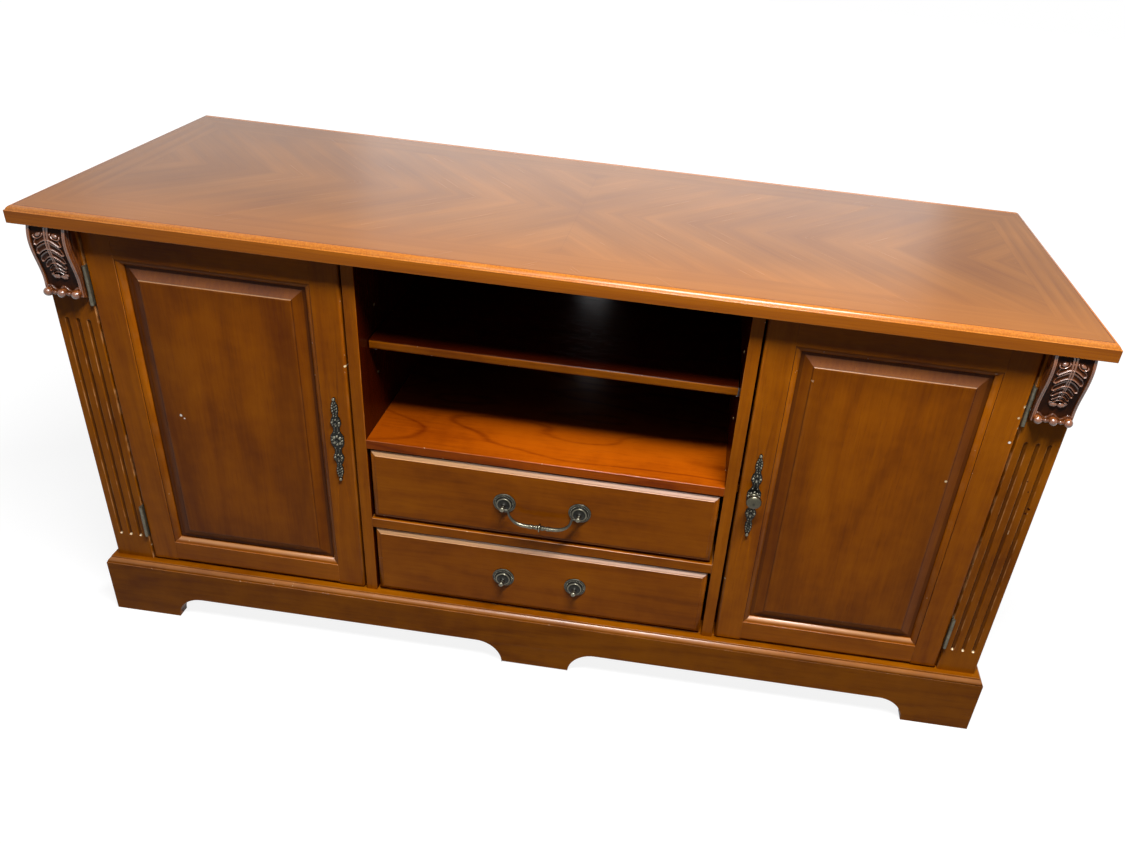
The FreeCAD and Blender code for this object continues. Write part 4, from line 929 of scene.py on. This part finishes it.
def leaf(across, drop):
    """The carving's height over the bed, in millimetres."""
    out = np.abs(across)
    narrow = np.interp(drop, (0, 30, 72), (1.0, 0.8, 0.3))
    stem = dome((out - 2.1 * narrow) / (2.0 * narrow)) * 2.4 * ramp(drop, 80, 66)
    reach = np.clip((out - 2.5) / 18.5, 0, 1.2)
    droop = 12.5 + 9.0 * np.clip((drop - 38) / 34, 0, 1)
    root = drop - droop * reach ** 1.3
    place = np.interp(root, LOBE_ROOTS, np.arange(len(LOBE_ROOTS)))
    share = place % 1
    tip = np.interp(drop, (20, 46, 62, 80), (21.0, 20.5, 17.0, 9.0))
    tip = tip - 3.4 * np.abs(np.cos(np.pi * share)) ** 2.2
    inside = ramp(out, tip + 0.4, tip - 1.0) * (root > LOBE_ROOTS[0]) * (root < LOBE_ROOTS[-1])
    rim = np.maximum(np.abs(share - 0.52) / 0.48, 1 - (tip - out) / 5.0)
    rim = np.exp(-((rim - 0.70) / 0.19) ** 2) * np.where(share > 0.52, 1.0, 0.62)
    strand = 0.16 * np.cos(2 * np.pi * 3 * share)
    lobes = (0.8 + rim * 2.0 + strand) * ramp(share, 1.0, 0.93) * ramp(share, 0.0, 0.09) * inside
    tilt = (out - EYE[0]) * 0.28
    from_eye = np.hypot((out - EYE[0]) * 0.92, (drop - EYE[1] - tilt) * 1.22)
    hang = ramp(drop - EYE[1] - tilt, -3.5, 0.5)
    eye = np.maximum(dome((from_eye - 6.2) / 1.3) * 2.4 * hang, dome(from_eye / 4.3) * 2.6)
    lobes = np.where(from_eye < 7.6, 0, lobes)
    curl = dome(np.hypot((out - CURL[0]) / 6.2, (drop - CURL[1]) / 4.3)) * 3.2
    hook = np.hypot(out - 10.6, drop - 77.6)
    curl = np.maximum(curl, dome(hook / 2.6) * 2.8 - dome(hook / 1.1) * 1.2)
    return np.maximum.reduce([stem, lobes, eye, curl])


def bed_height(across, drop):
    """Leaf, ribs and scalloped band together."""
    out = np.abs(across)
    rib_at = BRACKET_HALF - RIB
    rib = ramp(out, rib_at - 0.5, rib_at + 0.5) * BED_SINK
    rib = rib - np.exp(-((out - rib_at - 2.2) / 0.45) ** 2) * 0.7
    rib = rib - ramp(out, BRACKET_HALF - 0.9, BRACKET_HALF + 0.2) * 0.8
    edge = 98.6 - 3.4 * np.cos(2 * np.pi * across / 21.0)
    band = ramp(drop, edge - 0.5, edge + 0.5) * 1.7
    return np.maximum.reduce([leaf(across, drop) * (out < rib_at), rib, band])


bed = np.meshgrid(np.linspace(-BRACKET_HALF, BRACKET_HALF, 113), np.linspace(0, FOOT_DROP, 180))
print("leaf rises", round(float(leaf(*bed).max()), 2), "mm")

# %% [markdown]
# ## Brackets and their balls
# One row of points for each height down the bracket carries the leaf over its swelling
# front, and two flanks close the row back to the wall, with three cut lines along them.
# The balls are turned work: one profile spun round a line. A Screw modifier would spin it
# too, but a skin also carries the height that the walnut finish reads.

# %% Brackets and their turned balls
def turned(name, profile, centre, axis, steps, height=None):
    """Spin (radius, distance) pairs round a line along axis 0, 1 or 2 through centre.

    height holds one value for each pair; without it, whatever bulges counts as high.
    """
    profile = np.array(profile, dtype=float)
    turn = np.linspace(0, 2 * np.pi, steps, endpoint=False)
    rings = np.zeros((len(profile), steps, 3))
    rings[..., axis] = profile[:, 1:2]
    rings[..., (axis + 1) % 3] = profile[:, :1] * np.cos(turn)
    rings[..., (axis + 2) % 3] = profile[:, :1] * np.sin(turn)
    rings += np.array(centre)
    if height is None:
        spread = travelled(profile)
        near = [np.interp(spread + s, spread, profile[:, 0]) for s in (-2.5, -1.2, 1.2, 2.5)]
        height = 0.55 + (profile[:, 0] - np.mean(near, axis=0)) * 0.9
    return skinned(name, rings, np.repeat(np.asarray(height)[:, None], steps, axis=1))


def bracket_rings():
    """Rings down the bracket: its carved front, then both flanks with their cut lines."""
    across = np.linspace(-BRACKET_HALF, BRACKET_HALF, 113)
    drop = np.concatenate([np.linspace(0, FOOT_DROP, 181), [HEEL_DROP]])
    a, d = np.meshgrid(across, drop)
    proud = np.where(d < SEAT_DROP, np.polyval(BELLY, np.minimum(d, SEAT_DROP)), SEAT_PROUD)
    height = bed_height(a, d)
    depth = proud - BED_SINK + height
    depth[-1], height[-1] = HEEL_PROUD, 0
    front = np.stack([a, BRACKET_WALL - depth, BRACKET_TOP - d], axis=-1)
    share = np.concatenate([np.linspace(0.03, 0.6, 20), [0.8, 1.0]])
    flanks, marks = [], []
    for column, sign, order in ((-1, 1, 1), (0, -1, -1)):
        start = front[:, column]
        away = depth[:, column, None] * share
        line = sum(np.exp(-((away - at) / width) ** 2) for at, width in FLANK_LINES)
        x = start[:, :1] - sign * line * 0.7
        y = start[:, 1:2] + away
        z = np.repeat(start[:, 2:], len(share), axis=1)
        flank = np.stack([x, y, z], axis=-1)[:, ::order]
        flanks.append(flank)
        marks.append((0.75 - line * 0.6)[:, ::order])
    rings = np.concatenate([front, flanks[0], flanks[1]], axis=1)
    worn = np.concatenate([height / 2.6, marks[0], marks[1]], axis=1)
    return rings, worn


def bar_profile():
    """Three balls with a bead between each two, on a thin neck."""
    along = np.linspace(-NECK_HALF, NECK_HALF, 150)
    radius = np.full_like(along, NECK_RADIUS)
    balls = [(middle, BALL_RADIUS) for middle in BALLS]
    beads = [(middle, BEAD_RADIUS) for middle in BEADS_BETWEEN]
    for middle, size in balls + beads:
        radius = np.maximum(radius, size * dome((along - middle) / size))
    radius[0] = radius[-1] = NECK_TIP
    return np.stack([radius, along], axis=1)


for side, hand in ((-1, "left"), (1, "right")):
    rings, worn = bracket_rings()
    rings[..., 0] = side * (BRACKET_X + rings[..., 0])
    mesh = skinned("bracket_" + hand + "_carving", rings, worn)
    add_piece(mesh.name, mesh, "carved", "carcass", ["corbel_" + hand])
    centre = (side * BRACKET_X, BALL_Y, BRACKET_TOP - BALL_DROP)
    profile = bar_profile()
    bar = turned("bracket_" + hand + "_balls", profile, centre, 0, 36,
                 0.35 + profile[:, 0] / BALL_RADIUS * 0.6)
    add_piece(bar.name, bar, "carved", "carcass", ["corbel_" + hand])
    print(mesh.name, len(mesh.polygons), "faces")

# %% [markdown]
# ## Cast plates
# Each door wears a long plate cast in pewter: beads at its tips, leaf sections with
# paired lumps, scrolled lobes with a dark eye, and a ringed middle with a pit for the
# knob. The relief is again a height, but over a width that swells and narrows.

# %% Plates
PLATE_X, PLATE_Z, PLATE_WALL = 325.5, 424.5, -231.0
PLATE_HALF_LENGTH, PLATE_THICK, PLATE_CROWN = 78.4, 1.7, 0.5
PLATE_HALF_WIDTHS = ((0, 11.2), (8, 10.6), (14, 6.6), (18, 5.4), (24, 5.6), (29, 8.0), (33, 8.8),
                     (38, 7.8), (44, 4.9), (47.5, 4.2), (53, 5.0), (61, 5.4), (67, 4.0),
                     (71.5, 2.3), (73.1, 2.0), (75.5, 3.0), (77.6, 2.2), (78.5, 0.5))
LUMPS = ((4.6, 4.8, 2.8, 2.3), (0, 7.6, 2.4, 2.3), (8.0, 0, 2.5, 2.1), (8.2, 5.2, 1.6, 1.4),
         (3.7, 14.6, 1.5, 1.7), (2.2, 18.6, 1.2, 1.2), (2.2, 24.0, 1.2, 1.2),
         (0, 27.6, 2.0, 2.1), (5.7, 33.0, 2.3, 2.2), (0, 38.8, 2.1, 2.1), (4.8, 28.4, 1.6, 1.6),
         (4.4, 37.6, 1.6, 1.6), (1.9, 45.2, 1.5, 1.7), (2.1, 49.6, 1.5, 1.5),
         (3.3, 54.2, 1.8, 1.9), (3.6, 59.4, 1.9, 2.0), (3.2, 64.4, 1.7, 1.8), (2.0, 69.0, 1.5, 1.6),
         (0.6, 57.0, 1.3, 1.4), (0.6, 62.0, 1.3, 1.5), (0.5, 67.0, 1.1, 1.3), (0, 75.5, 3.0, 2.5))
PITS = ((0, 0, 2.7, 1.6), (0, 33.0, 2.4, 1.5), (2.4, 42.0, 1.3, 0.8))
RAISED_RINGS = ((0, 5.0), (33.0, 4.0))


def plate_height(across, up):
    """The relief over the plate, in millimetres."""
    out, away = np.abs(across), np.abs(up)
    height = np.zeros_like(across)
    for x, z, radius, rise in LUMPS:
        height = np.maximum(height, rise * dome(np.hypot(out - x, away - z) / radius))
    for z, radius in RAISED_RINGS:
        ring = np.hypot(across, away - z)
        height = np.maximum(height, dome((ring - radius) / 1.1) * 1.1)
    flat_band = ramp(away, 15.5, 17.0) * ramp(away, 26.0, 24.5)
    height = np.maximum(height, dome((out - 2.4) / 1.0) * flat_band * 0.9)
    vein = ramp(away, 50, 53) * ramp(away, 72, 70)
    height = np.maximum(height, dome(out / 0.7) * vein * 0.9)
    for x, z, radius, sink in PITS:
        height = height - sink * dome(np.hypot(out - x, away - z) / radius)
    return height


def plate_rings():
    """Rings up the plate, and how worn each point is."""
    up = np.linspace(-PLATE_HALF_LENGTH, PLATE_HALF_LENGTH, 315)
    share = np.linspace(-1, 1, 43)
    away = np.abs(up)
    half = np.interp(away, *zip(*PLATE_HALF_WIDTHS))
    lumpy = ramp(away, 50, 53) * ramp(away, 72, 70) * np.abs(np.sin(np.pi * (away - 51.6) / 5.1))
    half = half + lumpy * 0.7 - 0.35
    a = half[:, None] * share
    z = np.repeat(up[:, None], len(share), axis=1)
    height = plate_height(a, z)
    thick = PLATE_THICK + PLATE_CROWN * dome(share[None, :] * 0.98) + height
    front = np.stack([a, PLATE_WALL - thick, z], axis=-1)
    back = front[:, [-1, 0]].copy()
    back[..., 1] = PLATE_WALL
    worn = np.concatenate([0.15 + height / 2.3, np.zeros((len(up), 2))], axis=1)
    return np.concatenate([front, back], axis=1), worn


for side, hand in ((-1, "left"), (1, "right")):
    rings, worn = plate_rings()
    rings += np.array([PLATE_X, 0, PLATE_Z])
    rings[..., 0] *= side
    name = "door_" + hand + "_plate"
    mesh = skinned(name + "_cast", rings, worn)
    add_piece(mesh.name, mesh, "pewter", hand + "_door", [name])
    print(mesh.name, len(mesh.polygons), "faces")

# %% [markdown]
# ## Knob and posts
# The right door's knob and the drawers' posts are round all the way. A profile is drawn as
# radius against distance from the wood, its corners are cut until they are soft, and it is
# spun. Drawing fewer points and rounding them keeps the profile short enough to read.

# %% Knob and posts
KNOB = ((0.3, 22.4), (4.5, 22.2), (8.0, 21.2), (10.9, 19.4), (12.0, 17.2), (11.9, 15.2),
        (10.2, 14.0), (7.4, 13.4), (5.2, 11.6), (4.5, 8.6), (4.9, 6.2), (6.4, 5.0), (6.6, 4.2),
        (2.0, 4.1), (2.0, 4.0), (2.0, -18.0))
POST = ((0.3, 20.4), (2.6, 20.2), (4.2, 18.6), (4.4, 17.0), (4.2, 15.2), (3.0, 13.8),
        (2.6, 13.2), (3.1, 12.4), (3.1, 11.8), (2.7, 11.2), (3.1, 9.6), (4.2, 7.8), (6.4, 6.4),
        (8.6, 5.6), (9.4, 5.5), (10.2, 6.0), (11.3, 6.0), (12.0, 5.4), (12.2, 4.0), (12.4, 3.2),
        (13.6, 2.9), (15.0, 2.6), (15.4, 2.2), (16.2, 2.3), (17.6, 1.8), (18.2, 1.2),
        (18.2, 0.0))
POST_HALF_SPAN = 60.5
DRAWER_MIDDLES = {"drawer_lower": 186.5, "drawer_upper": 344.5}


def from_wall(profile):
    """Radius against Y for a profile that is drawn outwards from the wood's face."""
    return [(radius, PLATE_WALL - away) for radius, away in cut_corners(profile)]


knob = turned("door_right_knob_turned", from_wall(KNOB), (PLATE_X, 0, PLATE_Z), 1, 56)
add_piece(knob.name, knob, "knob", "right_door", ["door_right_knob"])


def joined(name, meshes):
    """One mesh out of several, keeping their heights."""
    work = bmesh.new()
    for mesh in meshes:
        work.from_mesh(mesh)
    out = bpy.data.meshes.new(name)
    work.to_mesh(out)
    work.free()
    return shaded(out, SKIN_SHARP)


POST_PROFILE = np.array(from_wall(POST))
away = PLATE_WALL - POST_PROFILE[:, 1]
spread = travelled(POST_PROFILE)
near = np.mean([np.interp(spread + s, spread, away) for s in (-2.4, -1.2, 1.2, 2.4)], axis=0)
post_worn = 0.42 + (away - near) * 0.7 + np.where(away > 12, 0.3, 0)
for drawer, middle in DRAWER_MIDDLES.items():
    pair = [turned("post", POST_PROFILE, (side * POST_HALF_SPAN, 0, middle), 1, 56, post_worn)
            for side in (-1, 1)]
    posts = joined(drawer + "_posts_turned", pair)
    add_piece(posts.name, posts, "pewter", body_of[drawer + "_posts"],
              [drawer + "_posts"])
    print(posts.name, len(posts.polygons), "faces")

# %% [markdown]
# ## The bail
# The upper drawer has a bail that hangs from its two posts on pins. Its section stays round
# while its line bends. A curve with a bevel would do for the wire, but here a circle is
# carried along a smoothed path and its radius changes on the way, which also turns the
# rings on the grip.

# %% Bail
BAIL_Y, BAIL_Z = -248.0, DRAWER_MIDDLES["drawer_upper"]
BAIL_LINE = ((55.6, 0.0), (51.6, 0.2), (50.2, 4.0), (48.9, 10.5), (44.6, 17.6), (38.6, 22.6),
             (31.0, 25.6), (23.0, 26.6), (12.0, 26.6), (0.0, 26.6))
WIRE = ((0, 3.0), (17.5, 3.15), (27, 3.15), (36, 2.8), (44, 2.3), (50, 1.9), (52, 2.1), (56, 2.1))
GRIP = ((0.0, 7.0), (0.7, 6.8), (1.5, 5.4), (2.4, 3.6), (3.0, 3.2), (3.6, 4.3), (4.4, 4.4),
        (5.0, 3.2), (5.5, 3.9), (6.2, 3.9), (6.7, 3.0), (7.4, 3.5), (8.0, 3.5), (8.6, 2.8),
        (10.6, 2.8), (11.2, 3.8), (12.4, 3.9), (13.0, 3.3), (13.6, 3.9), (14.8, 3.9), (15.4, 3.3),
        (16.0, 3.8), (17.0, 3.8), (17.6, 3.1))
GRIP_END, GRIP_REACH = 17.6, 19
PIN_RADIUS, PIN_ENDS = 1.2, (54.0, 59.4)


def bail_rings(steps=28):
    """Circles carried along the bail, with the turned rings of its grip."""
    half = cut_corners(BAIL_LINE, 3)
    line = np.concatenate([half, half[-2::-1] * (-1, 1)])
    spread = travelled(line)
    end = spread[-1]
    grip_from, grip_to = end / 2 - GRIP_REACH, end / 2 + GRIP_REACH
    even = np.concatenate([np.linspace(0, grip_from, 60, endpoint=False),
                           np.linspace(grip_from, grip_to, 190),
                           np.linspace(grip_to, end, 61)[1:]])
    x = np.interp(even, spread, line[:, 0])
    drop = np.interp(even, spread, line[:, 1])
    out = np.abs(x)
    grip_radius, wire_radius = np.interp(out, *zip(*GRIP)), np.interp(out, *zip(*WIRE))
    radius = np.where(out < GRIP_END, grip_radius, wire_radius)
    run = np.stack([np.gradient(x), -np.gradient(drop)], axis=1)
    run /= np.linalg.norm(run, axis=1, keepdims=True)
    turn = np.linspace(0, 2 * np.pi, steps, endpoint=False)
    wide, deep = radius[:, None] * np.cos(turn), radius[:, None] * np.sin(turn)
    rings = np.stack([x[:, None] - run[:, 1:] * wide,
                      BAIL_Y + deep,
                      BAIL_Z - drop[:, None] + run[:, :1] * wide], axis=-1)
    worn = 0.45 + (radius - 2.9) * 0.35 + (out > GRIP_END) * 0.15
    return rings, np.repeat(worn[:, None], steps, axis=1)


pins = [turned("pin", [(PIN_RADIUS, side * end) for end in PIN_ENDS], (0, BAIL_Y, BAIL_Z), 0,
               16, [0.5, 0.5]) for side in (1, -1)]
bail = joined("drawer_upper_bail_cast", [skinned("bail", *bail_rings())] + pins)
add_piece(bail.name, bail, "bail", "upper_bail", ["drawer_upper_bail"])
print(bail.name, len(bail.polygons), "faces")

# %% [markdown]
# ## Small repeated hardware
# Nails hold the backs, screws the hinges and strikes, brass sleeves line the spare
# shelf-pin holes, and a ring of beads runs round each rosette. Each kind is a Geometry
# Nodes tree that strings one shape along a line or round a circle, so that its count,
# spacing and size are inputs and every row is the same tree with other numbers.

# %% Trees for studs and beads
SOCKETS = {int: "NodeSocketInt", float: "NodeSocketFloat", tuple: "NodeSocketVector"}


def new_tree(name, inputs):
    """An empty tree with named inputs, and those inputs as terms."""
    tree = bpy.data.node_groups.new(name, "GeometryNodeTree")
    for label, value in inputs.items():
        socket = tree.interface.new_socket(label, in_out="INPUT", socket_type=SOCKETS[type(value)])
        socket.default_value = value
    tree.interface.new_socket("Mesh", in_out="OUTPUT", socket_type="NodeSocketGeometry")
    source = tree.nodes.new("NodeGroupInput")
    return tree, {label: Term(tree, source.outputs[label]) for label in inputs}


def marked(shape, height):
    """The shape with the height that the metal finish reads."""
    settings = {"data_type": "FLOAT", "domain": "POINT"}
    sockets = {"Geometry": shape, "Name": "height", "Value": height}
    return shape.node("GeometryNodeStoreNamedAttribute", settings, sockets)


def strung(points, shape, turn, finish):
    """Close a tree: the shape at every point, realized and with its material."""
    sockets = {"Points": points, "Instance": shape, "Rotation": turn}
    placed = shape.node("GeometryNodeInstanceOnPoints", None, sockets)
    solid = shape.node("GeometryNodeRealizeInstances", None, {"Geometry": placed})
    sockets = {"Geometry": solid, "Material": finishes[finish]}
    dressed = shape.node("GeometryNodeSetMaterial", None, sockets)
    shape.node("NodeGroupOutput", None, {"Mesh": dressed})


def stud_tree(name, finish, cross=False):
    """Round heads in a row, each with a dark dot or cross on it: painted shade for a hole or a
    recess.
    """
    tree, given = new_tree(name, {
        "Count": 6, "Start": (0.0, 0.0, 0.0), "Step": (0.1, 0.0, 0.0), "Turn": (0.0, 0.0, 0.0),
        "Radius": 0.002, "Thick": 0.0006, "Mark": 0.001})
    start = Term(tree)
    sockets = {"Count": given["Count"], "Start Location": given["Start"], "Offset": given["Step"]}
    line = start.node("GeometryNodeMeshLine", {"mode": "OFFSET"}, sockets)
    sockets = {"Vertices": 14, "Radius": given["Radius"], "Depth": given["Thick"]}
    shapes = [marked(start.node("GeometryNodeMeshCylinder", None, sockets), 1.0)]
    # The dot or cross stands a little proud and is marked low, so it is painted dark as shade.
    proud = given["Thick"] * 1.06
    if cross:
        long = given["Radius"] * 1.3
        for size in ({0: long, 1: given["Mark"], 2: proud}, {0: given["Mark"], 1: long, 2: proud}):
            size = start.node("ShaderNodeCombineXYZ", None, size)
            shapes.append(marked(start.node("GeometryNodeMeshCube", None, {"Size": size}), 0.0))
    else:
        sockets = {"Vertices": 10, "Radius": given["Mark"], "Depth": proud}
        shapes.append(marked(start.node("GeometryNodeMeshCylinder", None, sockets), 0.0))
    together = start.node("GeometryNodeJoinGeometry")
    for shape in shapes:
        tree.links.new(shape.socket, together.socket.node.inputs[0])
    strung(line, together, given["Turn"], finish)
    return tree


def bead_tree(name, finish):
    """Small balls round a circle that faces forward."""
    tree, given = new_tree(name, {"Count": 36, "Ring": 0.0144, "Bead": 0.0008,
                                  "Middle": (0.0, 0.0, 0.0)})
    start = Term(tree)
    sockets = {"Vertices": given["Count"], "Radius": given["Ring"]}
    circle = start.node("GeometryNodeMeshCircle", None, sockets)
    sockets = {"Geometry": circle, "Translation": given["Middle"],
               "Rotation": (math.pi / 2, 0.0, 0.0)}
    circle = start.node("GeometryNodeTransform", None, sockets)
    sockets = {"Segments": 8, "Rings": 5, "Radius": given["Bead"]}
    ball = marked(start.node("GeometryNodeMeshUVSphere", None, sockets), 0.9)
    strung(circle, ball, (0.0, 0.0, 0.0), finish)
    return tree


def grown(tree, values):
    """The plain mesh that a tree makes for these inputs."""
    holder = bpy.data.objects.new("holder", bpy.data.meshes.new("seed"))
    bpy.context.scene.collection.objects.link(holder)
    modifier = holder.modifiers.new("grow", "NODES")
    modifier.node_group = tree
    for item in tree.interface.items_tree:
        if item.in_out == "INPUT" and item.name in values:
            modifier[item.identifier] = values[item.name]
    mesh = baked(holder)
    bpy.data.objects.remove(holder)
    return mesh


finishes["brass"] = metal("sleeve_brass", srgb(30, 22, 14), srgb(176, 150, 104), 0.1, 0.40)
NAILS = stud_tree("nail_row", "steel")
SLEEVES = stud_tree("sleeve_row", "brass")
SCREWS = stud_tree("screw_row", "hinge", cross=True)
BEADS = bead_tree("bead_ring", "pewter")
print("trees", [tree.name for tree in bpy.data.node_groups])

# %% [markdown]
# ## The rows in place
# Every row is written as a count, a start and a step. Each could be an object of its own,
# but the rows on one body and of one kind are joined, so that they move and are listed as
# one piece.

# %% Nails, sleeves, screws and beads in place
FACE_X, FACE_Y = (0.0, math.pi / 2, 0.0), (math.pi / 2, 0.0, 0.0)


def metres(*values):
    """The same lengths, from millimetres."""
    return tuple(v * MM for v in values)


def stud_rows(name, tree, finish, body, size, turn, rows):
    """One piece out of rows of (count, start, step); size is radius, thickness and dark mark."""
    radius, thick, cut = metres(*size)
    meshes = [grown(tree, {"Count": count, "Start": metres(*start), "Step": metres(*step),
                           "Turn": turn, "Radius": radius, "Thick": thick, "Mark": cut})
              for count, start, step in rows]
    piece = add_piece(name, joined(name, meshes), finish, body)
    print(name, len(piece.data.polygons), "faces")


BACK_Y = 244.1
rows = [(16, (-712.5, BACK_Y, z), (95.0, 0, 0)) for z in (126.0, 727.0)]
rows += [(6, (x, BACK_Y, 190.0), (0, 0, 94.0)) for x in (-727, -295, -284, 284, 295, 727)]
stud_rows("back_nails", NAILS, "steel", "carcass", (2.1, 0.8, 0.6), FACE_Y, rows)

SLEEVE_ROWS = ((516.0, -164.0, 280.5), (516.0, 178.0, 280.5),
               (341.5, -166.0, 298.5), (341.5, 178.0, 298.5),
               (341.5, -166.0, 723.0), (341.5, 178.0, 723.0))
rows = [(2, (side * x, y, z), (0, 0, 118.0)) for side in (-1, 1) for z, y, x in SLEEVE_ROWS]
stud_rows("pin_sleeves", SLEEVES, "brass", "carcass", (3.3, 0.5, 2.3), FACE_X,
          rows)

HINGE_MIDDLES = (201.5, 643.0)
LEAF_FACES = {"case": 678.02, "door": 677.48}
for hand, side in (("left", -1), ("right", 1)):
    for leaf, body in (("case", "carcass"), ("door", hand + "_door")):
        rows = []
        for middle in HINGE_MIDDLES:
            rows.append((2, (side * LEAF_FACES[leaf], -225.0, middle - 23.0), (0, 0, 46.0)))
            rows.append((1, (side * LEAF_FACES[leaf], -218.5, middle), (0, 0, 46.0)))
        stud_rows(leaf + "_hinge_screws_" + hand, SCREWS, "hinge", body,
                  (3.4, 0.5, 0.9), FACE_X, rows)
    rows = [(2, (side * 343.0, -209.68, 725.5), (side * 31.0, 0, 0))]
    stud_rows("strike_screws_" + hand, SCREWS, "hinge", hand + "_door",
              (2.8, 0.4, 0.8), FACE_Y, rows)

for drawer, middle in DRAWER_MIDDLES.items():
    rings = [grown(BEADS, {"Middle": metres(side * POST_HALF_SPAN, -233.7, middle)})
             for side in (-1, 1)]
    beads = add_piece(drawer + "_beads", joined(drawer + "_beads", rings), "pewter",
                      body_of[drawer + "_posts"])
    print(beads.name, len(beads.data.polygons), "faces")

# %% [markdown]
# ## Boards as they are
# Backs, drawer boxes, blocks, catches and hinge leaves are plain shapes that the packed
# model already has right. They could be copied and eased too, but their edges are seldom
# seen, so they keep their meshes and only get a finish.

# %% Give the boards that stay their finish
STAYING = {
    "hidden": ["base_back", "base_blocks", "drawer_runners"],
    "back": ["back_panel_left", "back_panel_centre", "back_panel_right"],
    "box": ["drawer_upper_side_left", "drawer_upper_side_right", "drawer_upper_back",
            "drawer_lower_side_left", "drawer_lower_side_right", "drawer_lower_back",
            "drawer_upper_bottom", "drawer_lower_bottom"],
    "steel": ["shelf_supports", "door_left_strike", "door_right_strike"],
    "hinge": ["hinge_case_leaves", "door_left_hinge_leaves", "door_right_hinge_leaves"],
    "plastic": ["door_catches"],
}
for finish, members in STAYING.items():
    for node in members:
        nodes[node].data.materials.clear()
        nodes[node].data.materials.append(finishes[finish])
print("finished", sum(len(members) for members in STAYING.values()), "boards as they are")
